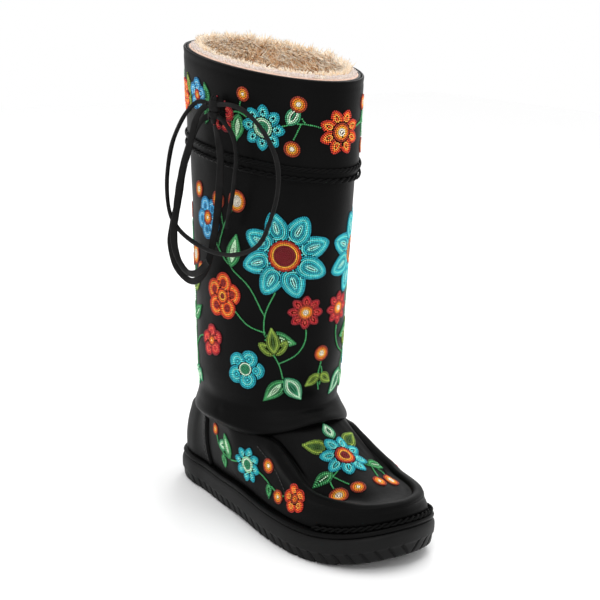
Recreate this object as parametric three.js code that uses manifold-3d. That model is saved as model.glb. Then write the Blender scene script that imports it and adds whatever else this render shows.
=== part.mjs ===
// Mukluk boot for the right foot: a moccasin foot part on a rubber sole, with a tall leather leg, a
// shearling lining, a cuff with two braids and a leather thong tied in a bow on its outer side.
// Millimetres, +Z up. The toe points to -Y and the outer (lateral) side of the foot to -X.
import * as THREE from 'three';
import Module from 'manifold-3d';

const wasm = await Module();
wasm.setup();

// Driving sizes of the sole
const soleLength = 281.3;
const ballWidth = 113;
const heelWidth = 78.4;
const toeShift = 4.3;
const soleHeight = 22;
const toeSpring = 14.3;
const archRise = 1.6;
const lugPitch = 18;
const lugGrooveWidth = 3.2;
const lugGrooveDepth = 3;
const notchPitch = 11;
const notchWidth = 1.7;
const notchHeight = 9.6;
const notchDepth = 1.5;
const notchLean = 0.6;

// Driving sizes of the foot part
const clearance = 0.3;
const weltHeight = 4.5;
const weltWidth = 10.5;
const insoleHeight = 6;
const upperInset = 4.5;
const upperWall = 2.8;
const sideBulge = 2.2;
const ridgeWidth = 10;
const ridgeHeight = 3;
const apronStep = 2;
const ankleHeight = 92;
const ankleLength = 125;
const ankleWidth = 102;
const ankleCentre = 43;
const instepLift = 8;
const collarHeight = 112;
const collarDraw = 2.6;
const counterThickness = 1.6;
const counterFoot = 0.138;
const counterTop = 0.127;
const ropeHeight = 4.2;

// Driving sizes of the leg
const shaftWall = 2.6;
const waistHeight = 102;
const waistEase = 7;
const waistLength = ankleLength + waistEase;
const waistWidth = ankleWidth + waistEase;
const braidHeight = 302;
const braidLength = 176.4;
const braidWidth = 108.4;
const braidTilt = 0.09;
const rimHeight = 379.5;
const rimLength = 179.4;
const rimWidth = 118;
const rimTilt = 0.117;
const rimCentre = 50.1;
const hemHeight = 84;
const hemArch = 4;
const hemFlareLength = 24;
const hemFlareWidth = 18;
const hemLength = ankleLength + hemFlareLength;
const hemWidth = ankleWidth + hemFlareWidth;
const hemGap = 3.4;
const hemRelief = 7;
const hemCentre = 38.5;
const cuffThickness = 2.2;
const braidCordHeight = 4.3;
const braidCordDepth = 2.2;
const braidSpacing = 7.8;
const liningGap = 0.7;
const fleeceDepth = 8;
const fleeceStand = 3.5;
const fleeceFoot = 114;
const lockCount = 20;
const lockLength = 5;

// Driving sizes of the thong
const thongDiameter = 3.6;
const ribbonWidth = 6;
const ribbonThickness = 1.8;
const knotHeight = 23;
const knotWidth = 12;
const knotDepth = 9;
const knotRise = 43.51;
const knotAhead = 13.07;
const knotStandoff = 9.53;
const stemSpacing = 4.6;
const stemDiameter = 2.6;
const stemLength = 6.4;

// Numbers of facets
const footColumns = 50;
const legColumns = 36;

const leather = { color: 0x151515, roughness: 0.55, metalness: 0 };
const rubber = { color: 0x101010, roughness: 0.75, metalness: 0 };
const shearling = { color: 0xe3cdaa, roughness: 1, metalness: 0 };
const suede = { color: 0x0c0c0c, roughness: 0.85, metalness: 0 };
const footbed = { color: 0xcdb592, roughness: 1, metalness: 0 };

const group = new THREE.Group();

// Shape-preserving curve through one named column of a table, read at a place of its key column
function lookup(table, key, column, place) {
  const last = table.length - 1;
  const clamped = Math.min(Math.max(place, table[0][key]), table[last][key]);
  let i = 0;
  while (i < last - 1 && clamped > table[i + 1][key]) i += 1;
  const slope = (n) => (table[n + 1][column] - table[n][column]) / (table[n + 1][key] - table[n][key]);
  const tangent = (n) => {
    if (n === 0) return slope(0);
    if (n === last) return slope(last - 1);
    const before = slope(n - 1);
    const after = slope(n);
    return before * after <= 0 ? 0 : (2 * before * after) / (before + after);
  };
  const span = table[i + 1][key] - table[i][key];
  const t = (clamped - table[i][key]) / span;
  const rise = t * t * (3 - 2 * t);
  return table[i][column] * (1 - rise) + table[i + 1][column] * rise
    + span * (t * (1 - t) * (1 - t) * tangent(i) - t * t * (1 - t) * tangent(i + 1));
}

// The same read along straight lines, for what has to lie on the flat faces between two rows
function lookupStraight(table, key, column, place) {
  const i = Math.max(table.findLastIndex((row) => row[key] <= place), 0);
  const [low, high] = [table[i], table[Math.min(i + 1, table.length - 1)]];
  const t = high === low ? 0 : (place - low[key]) / (high[key] - low[key]);
  return low[column] * (1 - t) + high[column] * t;
}

function smooth(from, to, value) {
  const t = Math.min(Math.max((value - from) / (to - from), 0), 1);
  return t * t * (3 - 2 * t);
}

// Solid through closed sections with equally many points. An open row of sections is capped by a ladder
// of faces between the two halves of its first and last section.
function loft(sections, closed) {
  const count = sections[0].length;
  const faces = [];
  const spans = closed ? sections.length : sections.length - 1;
  for (let i = 0; i < spans; i += 1) {
    const a = i * count;
    const b = ((i + 1) % sections.length) * count;
    for (let j = 0; j < count; j += 1) {
      const k = (j + 1) % count;
      faces.push(a + j, a + k, b + k, a + j, b + k, b + j);
    }
  }
  if (!closed) {
    const half = count / 2;
    const base = [0, count - 1, 1, half - 1, half + 1, half];
    for (let j = 1; j < half - 1; j += 1) base.push(j, count - j, count - j - 1, j, count - j - 1, j + 1);
    const top = (sections.length - 1) * count;
    faces.push(...base, ...base.map((n) => top + n).reverse());
  }
  const points = sections.flat();
  let volume = 0;
  for (let f = 0; f < faces.length; f += 3) {
    const [p, q, r] = [points[faces[f]], points[faces[f + 1]], points[faces[f + 2]]];
    volume += p.dot(new THREE.Vector3().crossVectors(q, r));
  }
  if (volume < 0) faces.reverse();
  const geometry = new THREE.BufferGeometry();
  geometry.setAttribute('position', new THREE.Float32BufferAttribute(points.flatMap((p) => p.toArray()), 3));
  geometry.setIndex(faces);
  return geometry;
}

function toSolid(geometry) {
  return new wasm.Manifold(new wasm.Mesh({
    numProp: 3,
    vertProperties: new Float32Array(geometry.getAttribute('position').array),
    triVerts: new Uint32Array(geometry.getIndex().array),
  }));
}

function toGeometry(solid) {
  const mesh = solid.getMesh();
  const geometry = new THREE.BufferGeometry();
  geometry.setAttribute('position', new THREE.Float32BufferAttribute(mesh.vertProperties, 3));
  geometry.setIndex(new THREE.Uint32BufferAttribute(mesh.triVerts, 1));
  return geometry;
}

function addPiece(name, geometry, finish) {
  geometry.computeVertexNormals();
  const piece = new THREE.Mesh(geometry, new THREE.MeshStandardMaterial(finish));
  piece.name = name;
  group.add(piece);
}

// Plan of the sole. Widths are shares of the heel width up to the heel's end, then of the ball width.
const planTable = [
  { share: 0.000, of: heelWidth, lateral: 0.000, medial: 0.000 },
  { share: 0.015, of: heelWidth, lateral: 0.225, medial: 0.225 },
  { share: 0.050, of: heelWidth, lateral: 0.390, medial: 0.390 },
  { share: 0.120, of: heelWidth, lateral: 0.485, medial: 0.485 },
  { share: 0.220, of: heelWidth, lateral: 0.510, medial: 0.490 },
  { share: 0.350, of: ballWidth, lateral: 0.400, medial: 0.350 },
  { share: 0.500, of: ballWidth, lateral: 0.455, medial: 0.370 },
  { share: 0.650, of: ballWidth, lateral: 0.500, medial: 0.455 },
  { share: 0.750, of: ballWidth, lateral: 0.500, medial: 0.500 },
  { share: 0.850, of: ballWidth, lateral: 0.440, medial: 0.480 },
  { share: 0.930, of: ballWidth, lateral: 0.330, medial: 0.380 },
  { share: 0.980, of: ballWidth, lateral: 0.180, medial: 0.220 },
  { share: 1.000, of: ballWidth, lateral: 0.000, medial: 0.000 },
];

function planPoint(row, side) {
  const shift = toeShift * Math.max((row.share - 0.3) / 0.7, 0) ** 2;
  const width = side < 0 ? row.lateral : row.medial;
  return new THREE.Vector3(side * width * row.of + shift, soleLength * (0.5 - row.share), 0);
}

const lateralPlan = planTable.map((row) => planPoint(row, -1));
const medialPlan = planTable.slice(1, -1).map((row) => planPoint(row, 1)).reverse();
const planCurve = new THREE.CatmullRomCurve3([...lateralPlan, ...medialPlan], true, 'centripetal');
const planSteps = 720;
const plan = planCurve.getSpacedPoints(planSteps);
const toeStep = plan.reduce((best, point, n) => (point.y < plan[best].y ? n : best), 0);

// Place on the plan: turn runs from 0 at the heel's back over the lateral side to 0.5 at the toe's tip
// and over the medial side back to 1. Inset moves inwards, square to the edge.
function edge(turn, inset) {
  const whole = turn - Math.floor(turn);
  const step = whole < 0.5 ? whole * 2 * toeStep : toeStep + (whole * 2 - 1) * (planSteps - toeStep);
  const at = (n) => {
    const low = Math.floor(n);
    const a = plan[((low % planSteps) + planSteps) % planSteps];
    const b = plan[(((low + 1) % planSteps) + planSteps) % planSteps];
    return a.clone().lerp(b, n - low);
  };
  const along = at(step + 3).sub(at(step - 3)).normalize();
  return at(step).add(new THREE.Vector3(-along.y, along.x, 0).multiplyScalar(inset));
}

function turns(count) {
  return Array.from({ length: count }, (_, n) => n / count);
}

// Share of the way from heel to toe along one side
const run = (turn) => 1 - Math.abs(1 - 2 * (turn - Math.floor(turn)));
const shareOf = (y) => 0.5 - y / soleLength;

// Height of the sole's underside: flat at the heel and ball, a low arch between and the toe spring
const springStart = 0.765;
const archStart = 0.30;
const archEnd = 0.60;
function underside(y) {
  const share = shareOf(y);
  const spring = toeSpring * Math.max((share - springStart) / (1 - springStart), 0) ** 2;
  const across = Math.min(Math.max((share - archStart) / (archEnd - archStart), 0), 1);
  return spring + archRise * Math.sin(Math.PI * across) ** 2;
}

function edgeRing(count, inset, height) {
  return turns(count).map((turn) => {
    const point = edge(turn, inset);
    return point.setZ(underside(point.y) + height);
  });
}

// Outsole: the side wall bulges over its notched foot. Heights and offsets are shares of its height.
const wallTable = [
  { height: 0.00, out: -0.15 },
  { height: 0.07, out: -0.04 },
  { height: 0.42, out: 0.02 },
  { height: 0.47, out: 0.06 },
  { height: 0.75, out: 0.07 },
  { height: 1.00, out: -0.03 },
];

function outsole() {
  const rings = wallTable.map((row) => edgeRing(footColumns, -row.out * soleHeight, row.height * soleHeight));
  const cuts = [];
  const cutter = (size, place) => {
    const corner = (n) => [n & 4, n & 2, n & 1].map((bit, axis) => (bit ? 0.5 : -0.5) * size[axis]);
    const box = new THREE.BufferGeometry();
    box.setAttribute('position', new THREE.Float32BufferAttribute([0, 1, 2, 3, 4, 5, 6, 7].flatMap(corner), 3));
    box.setIndex([
      0, 1, 3, 0, 3, 2, 4, 6, 7, 4, 7, 5, 0, 4, 5, 0, 5, 1, 2, 3, 7, 2, 7, 6, 0, 2, 6, 0, 6, 4, 1, 5, 7, 1, 7, 3,
    ]);
    box.applyMatrix4(place);
    cuts.push(toSolid(box));
  };
  // Cross grooves part the lugs under the ball and the heel
  const lugs = [{ from: 0.06, to: 0.30 }, { from: 0.50, to: 0.90 }];
  for (const { from, to } of lugs) {
    const grooves = Math.floor(((to - from) * soleLength) / lugPitch);
    for (let n = 0; n <= grooves; n += 1) {
      const y = soleLength * (0.5 - from) - n * lugPitch;
      const place = new THREE.Matrix4().makeTranslation(0, y, underside(y));
      cutter([ballWidth * 2, lugGrooveWidth, lugGrooveDepth * 2], place);
    }
  }
  // Leaning notches in the side wall, open at its foot
  const halfRun = planCurve.getLength() / 2;
  const notches = Math.floor((0.82 * halfRun) / notchPitch);
  for (const side of [-1, 1]) {
    for (let n = 0; n < notches; n += 1) {
      const turn = 0.5 + side * 0.5 * ((n + 0.5) * notchPitch) / halfRun;
      const point = edge(turn, -0.02 * soleHeight);
      const inward = edge(turn, 1).sub(edge(turn, 0)).normalize();
      const upward = new THREE.Vector3(0, 0, 1);
      const along = new THREE.Vector3().crossVectors(inward, upward);
      point.z = underside(point.y);
      const place = new THREE.Matrix4().makeBasis(along, inward, upward).setPosition(point);
      place.multiply(new THREE.Matrix4().makeRotationY(side * notchLean));
      cutter([notchWidth, notchDepth * 2, (2 * notchHeight) / Math.cos(notchLean)], place);
    }
  }
  const tool = cuts.reduce((all, cut) => all.add(cut));
  return toGeometry(toSolid(loft(rings, false)).subtract(tool));
}
addPiece('outsole', outsole(), rubber);

// Welt: a band along the sole's edge with rounded edges
function welt() {
  const base = soleHeight + clearance;
  const rows = [
    { inset: 0.9, height: 0 },
    { inset: -0.5, height: 0.2 * weltHeight },
    { inset: -0.5, height: 0.8 * weltHeight },
    { inset: 0.9, height: weltHeight },
    { inset: weltWidth, height: weltHeight },
    { inset: weltWidth, height: 0 },
  ];
  return loft(rows.map((row) => edgeRing(footColumns, row.inset, base + row.height)), true);
}
addPiece('welt', welt(), leather);

// Insole: the footbed inside the welt
function insole() {
  const inset = weltWidth + clearance;
  const base = soleHeight + clearance;
  const rings = [base, base + insoleHeight].map((height) => edgeRing(footColumns, inset, height));
  return loft(rings, false);
}
addPiece('insole', insole(), footbed);

// Foot part. Each row gives, for a place on the way from heel to toe, the line of the moccasin ridge
// (behind the instep: the shoulder of the heel and ankle), inset as a share of the ball width, height as
// a share of the ankle height, and how far the ridge stands, with the ankle's angle that it runs up to.
const lastTable = [
  { run: 0.000, lateral: 0.085, medial: 0.085, height: 0.76, roll: 0.0, angle: 0 },
  { run: 0.100, lateral: 0.080, medial: 0.080, height: 0.76, roll: 0.0, angle: 24 },
  { run: 0.190, lateral: 0.070, medial: 0.070, height: 0.76, roll: 0.0, angle: 43 },
  { run: 0.283, lateral: -0.010, medial: -0.010, height: 0.77, roll: 0.0, angle: 62 },
  { run: 0.413, lateral: -0.035, medial: -0.060, height: 0.80, roll: 0.0, angle: 86 },
  { run: 0.500, lateral: 0.045, medial: -0.015, height: 0.86, roll: 0.3, angle: 106 },
  { run: 0.543, lateral: 0.090, medial: 0.040, height: 0.87, roll: 0.8, angle: 121 },
  { run: 0.587, lateral: 0.112, medial: 0.066, height: 0.80, roll: 1.0, angle: 134 },
  { run: 0.630, lateral: 0.115, medial: 0.070, height: 0.71, roll: 1.0, angle: 144 },
  { run: 0.674, lateral: 0.106, medial: 0.075, height: 0.635, roll: 1.0, angle: 152 },
  { run: 0.727, lateral: 0.097, medial: 0.100, height: 0.585, roll: 1.0, angle: 159 },
  { run: 0.810, lateral: 0.085, medial: 0.115, height: 0.555, roll: 1.0, angle: 167 },
  { run: 0.900, lateral: 0.075, medial: 0.105, height: 0.510, roll: 1.0, angle: 174 },
  { run: 1.000, lateral: 0.080, medial: 0.080, height: 0.490, roll: 1.0, angle: 180 },
];
const weltTop = soleHeight + clearance + weltHeight;

function legPoint(angle, side, centre, length, width, height) {
  return new THREE.Vector3(
    (side * width * Math.sin(angle)) / 2,
    centre + (length * Math.cos(angle)) / 2,
    height,
  );
}

// Stations of the foot part's outer face at a turn, from the welt up to the collar inside the leg
const stationCount = 13;
function footStations(turn) {
  const place = run(turn);
  const side = turn - Math.floor(turn) < 0.5 ? -1 : 1;
  const value = (column) => lookup(lastTable, 'run', column, place);
  const roll = value('roll');
  const ridgeInset = value(side < 0 ? 'lateral' : 'medial') * ballWidth;
  const angle = THREE.MathUtils.degToRad(value('angle'));
  const front = smooth(0.45, 0.75, place);
  const inward = edge(turn, 1).sub(edge(turn, 0)).normalize();
  const foot = edge(turn, upperInset);
  foot.z = underside(foot.y) + weltTop + clearance;
  const ridge = edge(turn, ridgeInset);
  ridge.z = underside(ridge.y) + value('height') * ankleHeight;
  const ankle = legPoint(angle, side, ankleCentre, ankleLength, ankleWidth, ankleHeight + instepLift * front);
  const drawn = (height, draw) => legPoint(
    angle, side, ankleCentre, ankleLength - 2 * draw, ankleWidth - 2 * draw, height,
  );
  const shifted = (point, inwards, up) => point.clone().addScaledVector(inward, inwards).setZ(point.z + up);
  const wall = (share) => shifted(foot.clone().lerp(ridge, share), -sideBulge * Math.sin(Math.PI * share), 0);
  const plainUp = (share) => ridge.clone().lerp(ankle, share);
  const mix = (plain, rolled) => plain.lerp(rolled, roll);
  const half = ridgeWidth / 2;
  const apron = mix(plainUp(0.3), shifted(ridge, half + apronStep, -ridgeHeight));
  const slope = 1 + 0.9 * smooth(0.6, 0.9, place);
  const vamp = (share) => {
    const point = apron.clone().lerp(ankle, share);
    return point.setZ(apron.z + (ankle.z - apron.z) * share ** slope);
  };
  return [
    foot,
    wall(0.35),
    wall(0.68),
    mix(wall(0.85), shifted(ridge, -half * 0.75, -0.8 * ridgeHeight)),
    ridge,
    mix(plainUp(0.15), shifted(ridge, half * 0.75, -0.35 * ridgeHeight)),
    apron,
    vamp(0.3),
    vamp(0.55),
    vamp(0.8),
    ankle,
    drawn(ankleHeight + 0.6 * (collarHeight - ankleHeight) + 0.4 * instepLift * front, 0.8 * collarDraw),
    drawn(collarHeight, collarDraw),
  ];
}

// The outer face moved outwards, or inwards where distance is negative
function footShell(turn, distance) {
  const step = 0.004;
  const here = footStations(turn);
  const next = footStations(turn + step);
  const last = footStations(turn - step);
  return here.map((point, n) => {
    const upward = here[Math.min(n + 1, stationCount - 1)].clone().sub(here[Math.max(n - 1, 0)]);
    const around = next[n].clone().sub(last[n]);
    const normal = new THREE.Vector3().crossVectors(around, upward).normalize();
    if (n === 0 || n === stationCount - 1) normal.setZ(0).normalize();
    return point.clone().addScaledVector(normal, distance);
  });
}

function upper() {
  const innerStations = [12, 11, 10, 8, 6, 4, 2, 0];
  const columns = turns(footColumns).map((turn) => {
    const outer = footShell(turn, 0);
    const inner = footShell(turn, -upperWall);
    inner[0].z = outer[0].z;
    inner[stationCount - 1].z = outer[stationCount - 1].z;
    return [...outer, ...innerStations.map((n) => inner[n])];
  });
  return loft(columns, true);
}
addPiece('upper', upper(), leather);

// Heel counter: a panel between two larger forms of the foot part, from seam to seam round the heel
function heelCounter() {
  const stations = 10;
  const whole = Math.floor(counterTop * footColumns);
  const flat = (place, distance, n) => {
    const low = Math.floor(place);
    const next = footShell((low + 1) / footColumns, distance)[n];
    return footShell(low / footColumns, distance)[n].lerp(next, place - low);
  };
  const panelColumn = (placeAt) => {
    const face = (distance) => Array.from({ length: stations }, (_, n) => flat(placeAt(n), distance, n));
    const inner = face(clearance);
    const outer = face(clearance + counterThickness);
    outer.forEach((point, n) => point.setZ(inner[n].z));
    return [...inner, ...outer.reverse()];
  };
  const reach = (n) => counterFoot + ((counterTop - counterFoot) * n) / (stations - 1);
  const seam = (side) => panelColumn((n) => side * reach(n) * footColumns);
  const columns = [seam(-1)];
  for (let k = -whole; k <= whole; k += 1) columns.push(panelColumn(() => k));
  columns.push(seam(1));
  return loft(columns, false);
}
addPiece('heel_counter', heelCounter(), leather);

// Rope stitch round the toe, in the corner between welt and upper
function toeWhipstitch() {
  const steps = 22;
  const reach = 0.125;
  const sides = 6;
  const radius = ropeHeight / 2;
  const sections = Array.from({ length: steps + 1 }, (_, n) => {
    const turn = 0.5 - reach + (2 * reach * n) / steps;
    const centre = edge(turn, upperInset - clearance - radius);
    centre.z = underside(centre.y) + weltTop + clearance + radius;
    const inward = edge(turn, 1).sub(edge(turn, 0)).normalize();
    return Array.from({ length: sides }, (__, m) => {
      const a = (m / sides) * 2 * Math.PI;
      return centre.clone().addScaledVector(inward, radius * 0.85 * Math.cos(a))
        .add(new THREE.Vector3(0, 0, radius * Math.sin(a)));
    });
  });
  return loft(sections, false);
}
addPiece('toe_whipstitch', toeWhipstitch(), leather);

// Leg. Each row is an oval section of the shaft's outer face, from the hem to the rim: height, centre,
// length, width and how far the section tips up at the back, with the lower sections following the hem.
const legTable = [
  { height: hemHeight, centre: hemCentre, length: 0.95 * hemLength, width: 0.95 * hemWidth, tilt: 0, arch: 1 },
  {
    height: hemHeight + 0.22 * (waistHeight - hemHeight),
    centre: hemCentre,
    length: hemLength,
    width: hemWidth,
    tilt: 0,
    arch: 0.9,
  },
  {
    height: hemHeight + 0.62 * (waistHeight - hemHeight),
    centre: 0.5 * (hemCentre + ankleCentre),
    length: 0.45 * hemLength + 0.55 * waistLength,
    width: 0.45 * hemWidth + 0.55 * waistWidth,
    tilt: 0,
    arch: 0.5,
  },
  { height: waistHeight, centre: ankleCentre, length: waistLength, width: waistWidth, tilt: 0, arch: 0 },
  {
    height: waistHeight + 0.09 * (braidHeight - waistHeight),
    centre: ankleCentre,
    length: 1.035 * waistLength,
    width: 1.04 * waistWidth,
    tilt: 0,
    arch: 0,
  },
  {
    height: 0.47 * waistHeight + 0.53 * braidHeight,
    centre: 0.5 * (ankleCentre + rimCentre) - 0.5,
    length: 0.46 * waistLength + 0.54 * braidLength,
    width: 1.02 * (0.47 * waistWidth + 0.53 * braidWidth),
    tilt: 0.5 * braidTilt,
    arch: 0,
  },
  {
    height: braidHeight,
    centre: 0.7 * rimCentre + 0.3 * ankleCentre,
    length: braidLength,
    width: braidWidth,
    tilt: braidTilt,
    arch: 0,
  },
  { height: rimHeight, centre: rimCentre, length: rimLength, width: rimWidth, tilt: rimTilt, arch: 0 },
];

// Ring of the leg at a height of its middle, moved outwards by grow
function legRing(height, grow, columns = legColumns) {
  const value = (column) => lookupStraight(legTable, 'height', column, height);
  return turns(columns).map((turn) => {
    const angle = turn * 2 * Math.PI;
    const point = legPoint(angle, -1, value('centre'), value('length') + 2 * grow, value('width') + 2 * grow, 0);
    const tip = value('tilt') * (point.y - value('centre'));
    const wave = Math.cos(2 * angle) + 0.75 * Math.cos(4 * angle) - 0.25;
    return point.setZ(height + tip + value('arch') * hemArch * wave);
  });
}

const legHeights = legTable.map((row) => row.height);

function shaft() {
  const outer = legHeights.map((height) => legRing(height, 0));
  // Inside the hem the leather turns in round the foot part's collar
  const inside = legHeights.map((height, n) => {
    if (n > 2) return legRing(height, -shaftWall);
    const half = hemGap * [1, 1, 0.53][n];
    const ring = legRing(height, 0);
    return ring.map((point, k) => {
      const angle = (k / legColumns) * 2 * Math.PI;
      const frontness = Math.max(-Math.cos(angle), 0) ** 4;
      const lift = hemRelief * [1, 0.57, 0.14][n] * frontness;
      return legPoint(angle, -1, ankleCentre, ankleLength + 2 * half, ankleWidth + 2 * half, point.z + lift);
    });
  });
  // The hem is hollowed by the foot part's own form, so that it lies on the instep
  const counterRun = 2 * counterFoot + 2 / footColumns;
  const overCounter = (turn) => (run(turn) < counterRun ? counterThickness + 2.5 * clearance : 0);
  const shells = turns(footColumns).map((turn) => footShell(turn, clearance + overCounter(turn)));
  const footForm = loft(Array.from({ length: stationCount }, (_, n) => shells.map((shell) => shell[n])), false);
  return toGeometry(toSolid(loft([...outer, ...inside.reverse()], true)).subtract(toSolid(footForm)));
}
addPiece('shaft', shaft(), leather);

// Cuff: a leather band folded over the rim, with two holes for the thong
const cuffGap = 1.5 * clearance;
const cuffFoot = braidHeight - 0.45 * braidSpacing;
const knotLeg = (column) => lookupStraight(legTable, 'height', column, cuffFoot + knotRise);
const knotCentre = legPoint(
  Math.PI / 2 + Math.asin((2 * knotAhead) / knotLeg('length')),
  -1,
  knotLeg('centre'),
  knotLeg('length'),
  knotLeg('width'),
  cuffFoot + knotRise,
).add(new THREE.Vector3(-knotStandoff, 0, 0));

function rod(diameter, length, sides, place) {
  const ring = (x) => Array.from({ length: sides }, (_, n) => {
    const a = (n / sides) * 2 * Math.PI;
    return new THREE.Vector3(x, (diameter * Math.cos(a)) / 2, (diameter * Math.sin(a)) / 2).add(place);
  });
  return toSolid(loft([ring(0), ring(length)], false));
}

const stemPlaces = [-0.5, 0.5].map((share) => knotCentre.clone().add(new THREE.Vector3(2, share * stemSpacing, 0)));

function cuff() {
  const heights = [cuffFoot, braidHeight, rimHeight];
  const outer = heights.map((height) => legRing(height, cuffGap + cuffThickness));
  const inner = heights.map((height) => legRing(height, cuffGap));
  const band = toSolid(loft([...outer, ...inner.reverse()], true));
  const holes = stemPlaces.map((place) => rod(stemDiameter + 2 * clearance, 2 * stemLength, 8, place));
  return toGeometry(band.subtract(holes[0].add(holes[1])));
}
addPiece('cuff', cuff(), leather);

// Braids: two flat twisted cords round the foot of the cuff
function braid(height) {
  const sides = 5;
  const base = cuffGap + cuffThickness + clearance + braidCordDepth / 2;
  const rings = Array.from({ length: sides }, (_, m) => {
    const a = (m / sides) * 2 * Math.PI;
    const ring = legRing(height, base + (braidCordDepth / 2) * Math.cos(a));
    ring.forEach((point) => point.setZ(point.z + (braidCordHeight / 2) * Math.sin(a)));
    return ring;
  });
  return loft(rings, true);
}
const lowerBraid = cuffFoot + braidCordHeight / 2 + 0.4;
addPiece('cuff_braid_upper', braid(lowerBraid + braidSpacing), leather);
addPiece('cuff_braid_lower', braid(lowerBraid), leather);

// Shearling lining: a thick sleeve inside the shaft whose locks stand over the rim
function fleeceLining() {
  const inward = shaftWall + liningGap;
  const heights = [fleeceFoot, ...legHeights.filter((height) => height > fleeceFoot)];
  const outer = heights.map((height) => legRing(height, -inward));
  const wave = (ring, depth, phase) => ring.map((point, k) => {
    const swell = Math.sin(k * 1.9 + phase) + 0.6 * Math.sin(k * 3.7 + 2 * phase);
    return point.clone().add(new THREE.Vector3(0, 0, depth * swell));
  });
  const lip = legRing(rimHeight, -inward - 0.25 * fleeceDepth).map((p) => p.setZ(p.z + 0.3 * fleeceStand));
  const crown = wave(legRing(rimHeight, -inward - 0.6 * fleeceDepth), 0.5, 0);
  crown.forEach((point) => point.setZ(point.z + fleeceStand));
  const inner = [rimHeight - 2, ...heights.slice(1, -1).reverse(), fleeceFoot]
    .map((height) => legRing(height, -inward - fleeceDepth));
  const sleeve = toSolid(loft([...outer, lip, crown, ...inner], true));
  // Locks: leaning tapered tufts rooted in the crown
  const locks = Array.from({ length: lockCount }, (_, n) => {
    const turn = (n + 0.35 * Math.sin(n * 2.3)) / lockCount;
    const angle = turn * 2 * Math.PI;
    const grow = -inward - (0.68 + 0.16 * Math.sin(n * 1.7)) * fleeceDepth;
    const root = legPoint(angle, -1, rimCentre, rimLength + 2 * grow, rimWidth + 2 * grow, 0);
    root.z = rimHeight + rimTilt * (root.y - rimCentre) + 0.3 * fleeceStand;
    const out = new THREE.Vector3(root.x, root.y - rimCentre, 0).normalize();
    const along = new THREE.Vector3(-out.y, out.x, 0);
    const lean = new THREE.Vector3(0, 0, lockLength).addScaledVector(out, -1.5 + Math.sin(n * 5.1))
      .addScaledVector(along, 2 * Math.sin(n * 3.3));
    const section = (size, up) => [[1, 1], [-1, 1], [-1, -1], [1, -1]].map(([a, b]) => root.clone()
      .addScaledVector(along, a * size * 1.2).addScaledVector(out, 0.7 * b * size).addScaledVector(lean, up));
    return toSolid(loft([section(3, -0.4), section(0.6, 1)], false));
  });
  return toGeometry(locks.reduce((all, lock) => all.add(lock), sleeve));
}
addPiece('fleece_lining', fleeceLining(), shearling);

// Knot of the thong: a body with two wraps, and two stems that run through the cuff's holes
function tieKnot() {
  const ball = (size, place, sides) => {
    const rows = 4;
    const rings = Array.from({ length: rows + 1 }, (_, i) => {
      const down = Math.PI * (0.06 + (0.88 * i) / rows);
      return Array.from({ length: sides }, (__, j) => {
        const a = (j / sides) * 2 * Math.PI;
        return new THREE.Vector3(
          0.5 * size.x * Math.sin(down) * Math.cos(a),
          0.5 * size.y * Math.sin(down) * Math.sin(a),
          0.5 * size.z * Math.cos(down),
        ).add(place);
      });
    });
    return toSolid(loft(rings, false));
  };
  const body = ball(new THREE.Vector3(0.8 * knotDepth, 0.62 * knotWidth, knotHeight), knotCentre, 8);
  const wraps = [-0.22, 0.2].map((share) => ball(
    new THREE.Vector3(knotDepth, knotWidth, 0.4 * knotHeight),
    knotCentre.clone().add(new THREE.Vector3(0, 0, share * knotHeight)),
    8,
  ));
  const stems = stemPlaces.map((place) => rod(stemDiameter, stemLength, 8, place));
  return toGeometry([...wraps, ...stems].reduce((all, piece) => all.add(piece), body));
}
addPiece('tie_knot', tieKnot(), suede);

// Thong along points chosen by hand from the knot's centre; its flat form keeps its width in the plane of
// the loop
function thong(points, steps, width, thickness) {
  const curve = new THREE.CatmullRomCurve3(points.map((p) => new THREE.Vector3(...p).add(knotCentre)), false, 'centripetal');
  const sides = 8;
  const outward = new THREE.Vector3(-1, 0, 0);
  const sections = Array.from({ length: steps + 1 }, (_, n) => {
    const centre = curve.getPointAt(n / steps);
    const along = curve.getTangentAt(n / steps);
    const flat = new THREE.Vector3().crossVectors(outward, along).normalize();
    const thick = new THREE.Vector3().crossVectors(along, flat);
    return Array.from({ length: sides }, (__, m) => {
      const a = (m / sides) * 2 * Math.PI;
      return centre.clone().addScaledVector(flat, (width / 2) * Math.cos(a))
        .addScaledVector(thick, (thickness / 2) * Math.sin(a));
    });
  });
  return loft(sections, false);
}

const ringRoute = [
  [-0.4, 6.4, 4.6], [-3, 18, 5], [-5.4, 30, -4], [-6.4, 43, -20], [-6.4, 52, -36], [-6.4, 58, -66],
  [-6.4, 53, -90], [-6.4, 40, -101], [-6.4, 18, -108], [-4.4, -11, -112], [-3.4, -44, -107],
  [-1.4, -67, -95], [-0.4, -78, -76], [1.6, -84, -53], [2.6, -81, -31], [2.6, -64, -11], [1.6, -39, 3],
  [0.1, -22, 6], [-0.2, -6.4, 4.8],
];
const loopRoute = [
  [-0.4, 6.4, -5.1], [-2, 14, -9.5], [-2.4, 30, -29], [-2.4, 41, -55], [-2.4, 47, -80], [-2.4, 54, -99],
  [-2.4, 57, -116], [-2.4, 50, -133], [-1.4, 39, -141.5], [-0.4, 29, -144], [0.1, 19, -140.5],
  [0.6, 10, -131], [1.1, 4, -118], [1.6, -4, -87], [1.6, -7.5, -57], [1.6, -7.5, -34], [0.8, -5, -22],
  [0.1, -1, -11.8],
];
const frontEndRoute = [
  [0, -6.4, -5], [0.6, -11, -6.4], [1.4, -17, -11.5], [2, -24, -18], [2.1, -29, -34], [2.1, -27.5, -46.5],
  [2.6, -24, -64], [3, -19, -80], [3.6, -15, -92],
];
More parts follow.
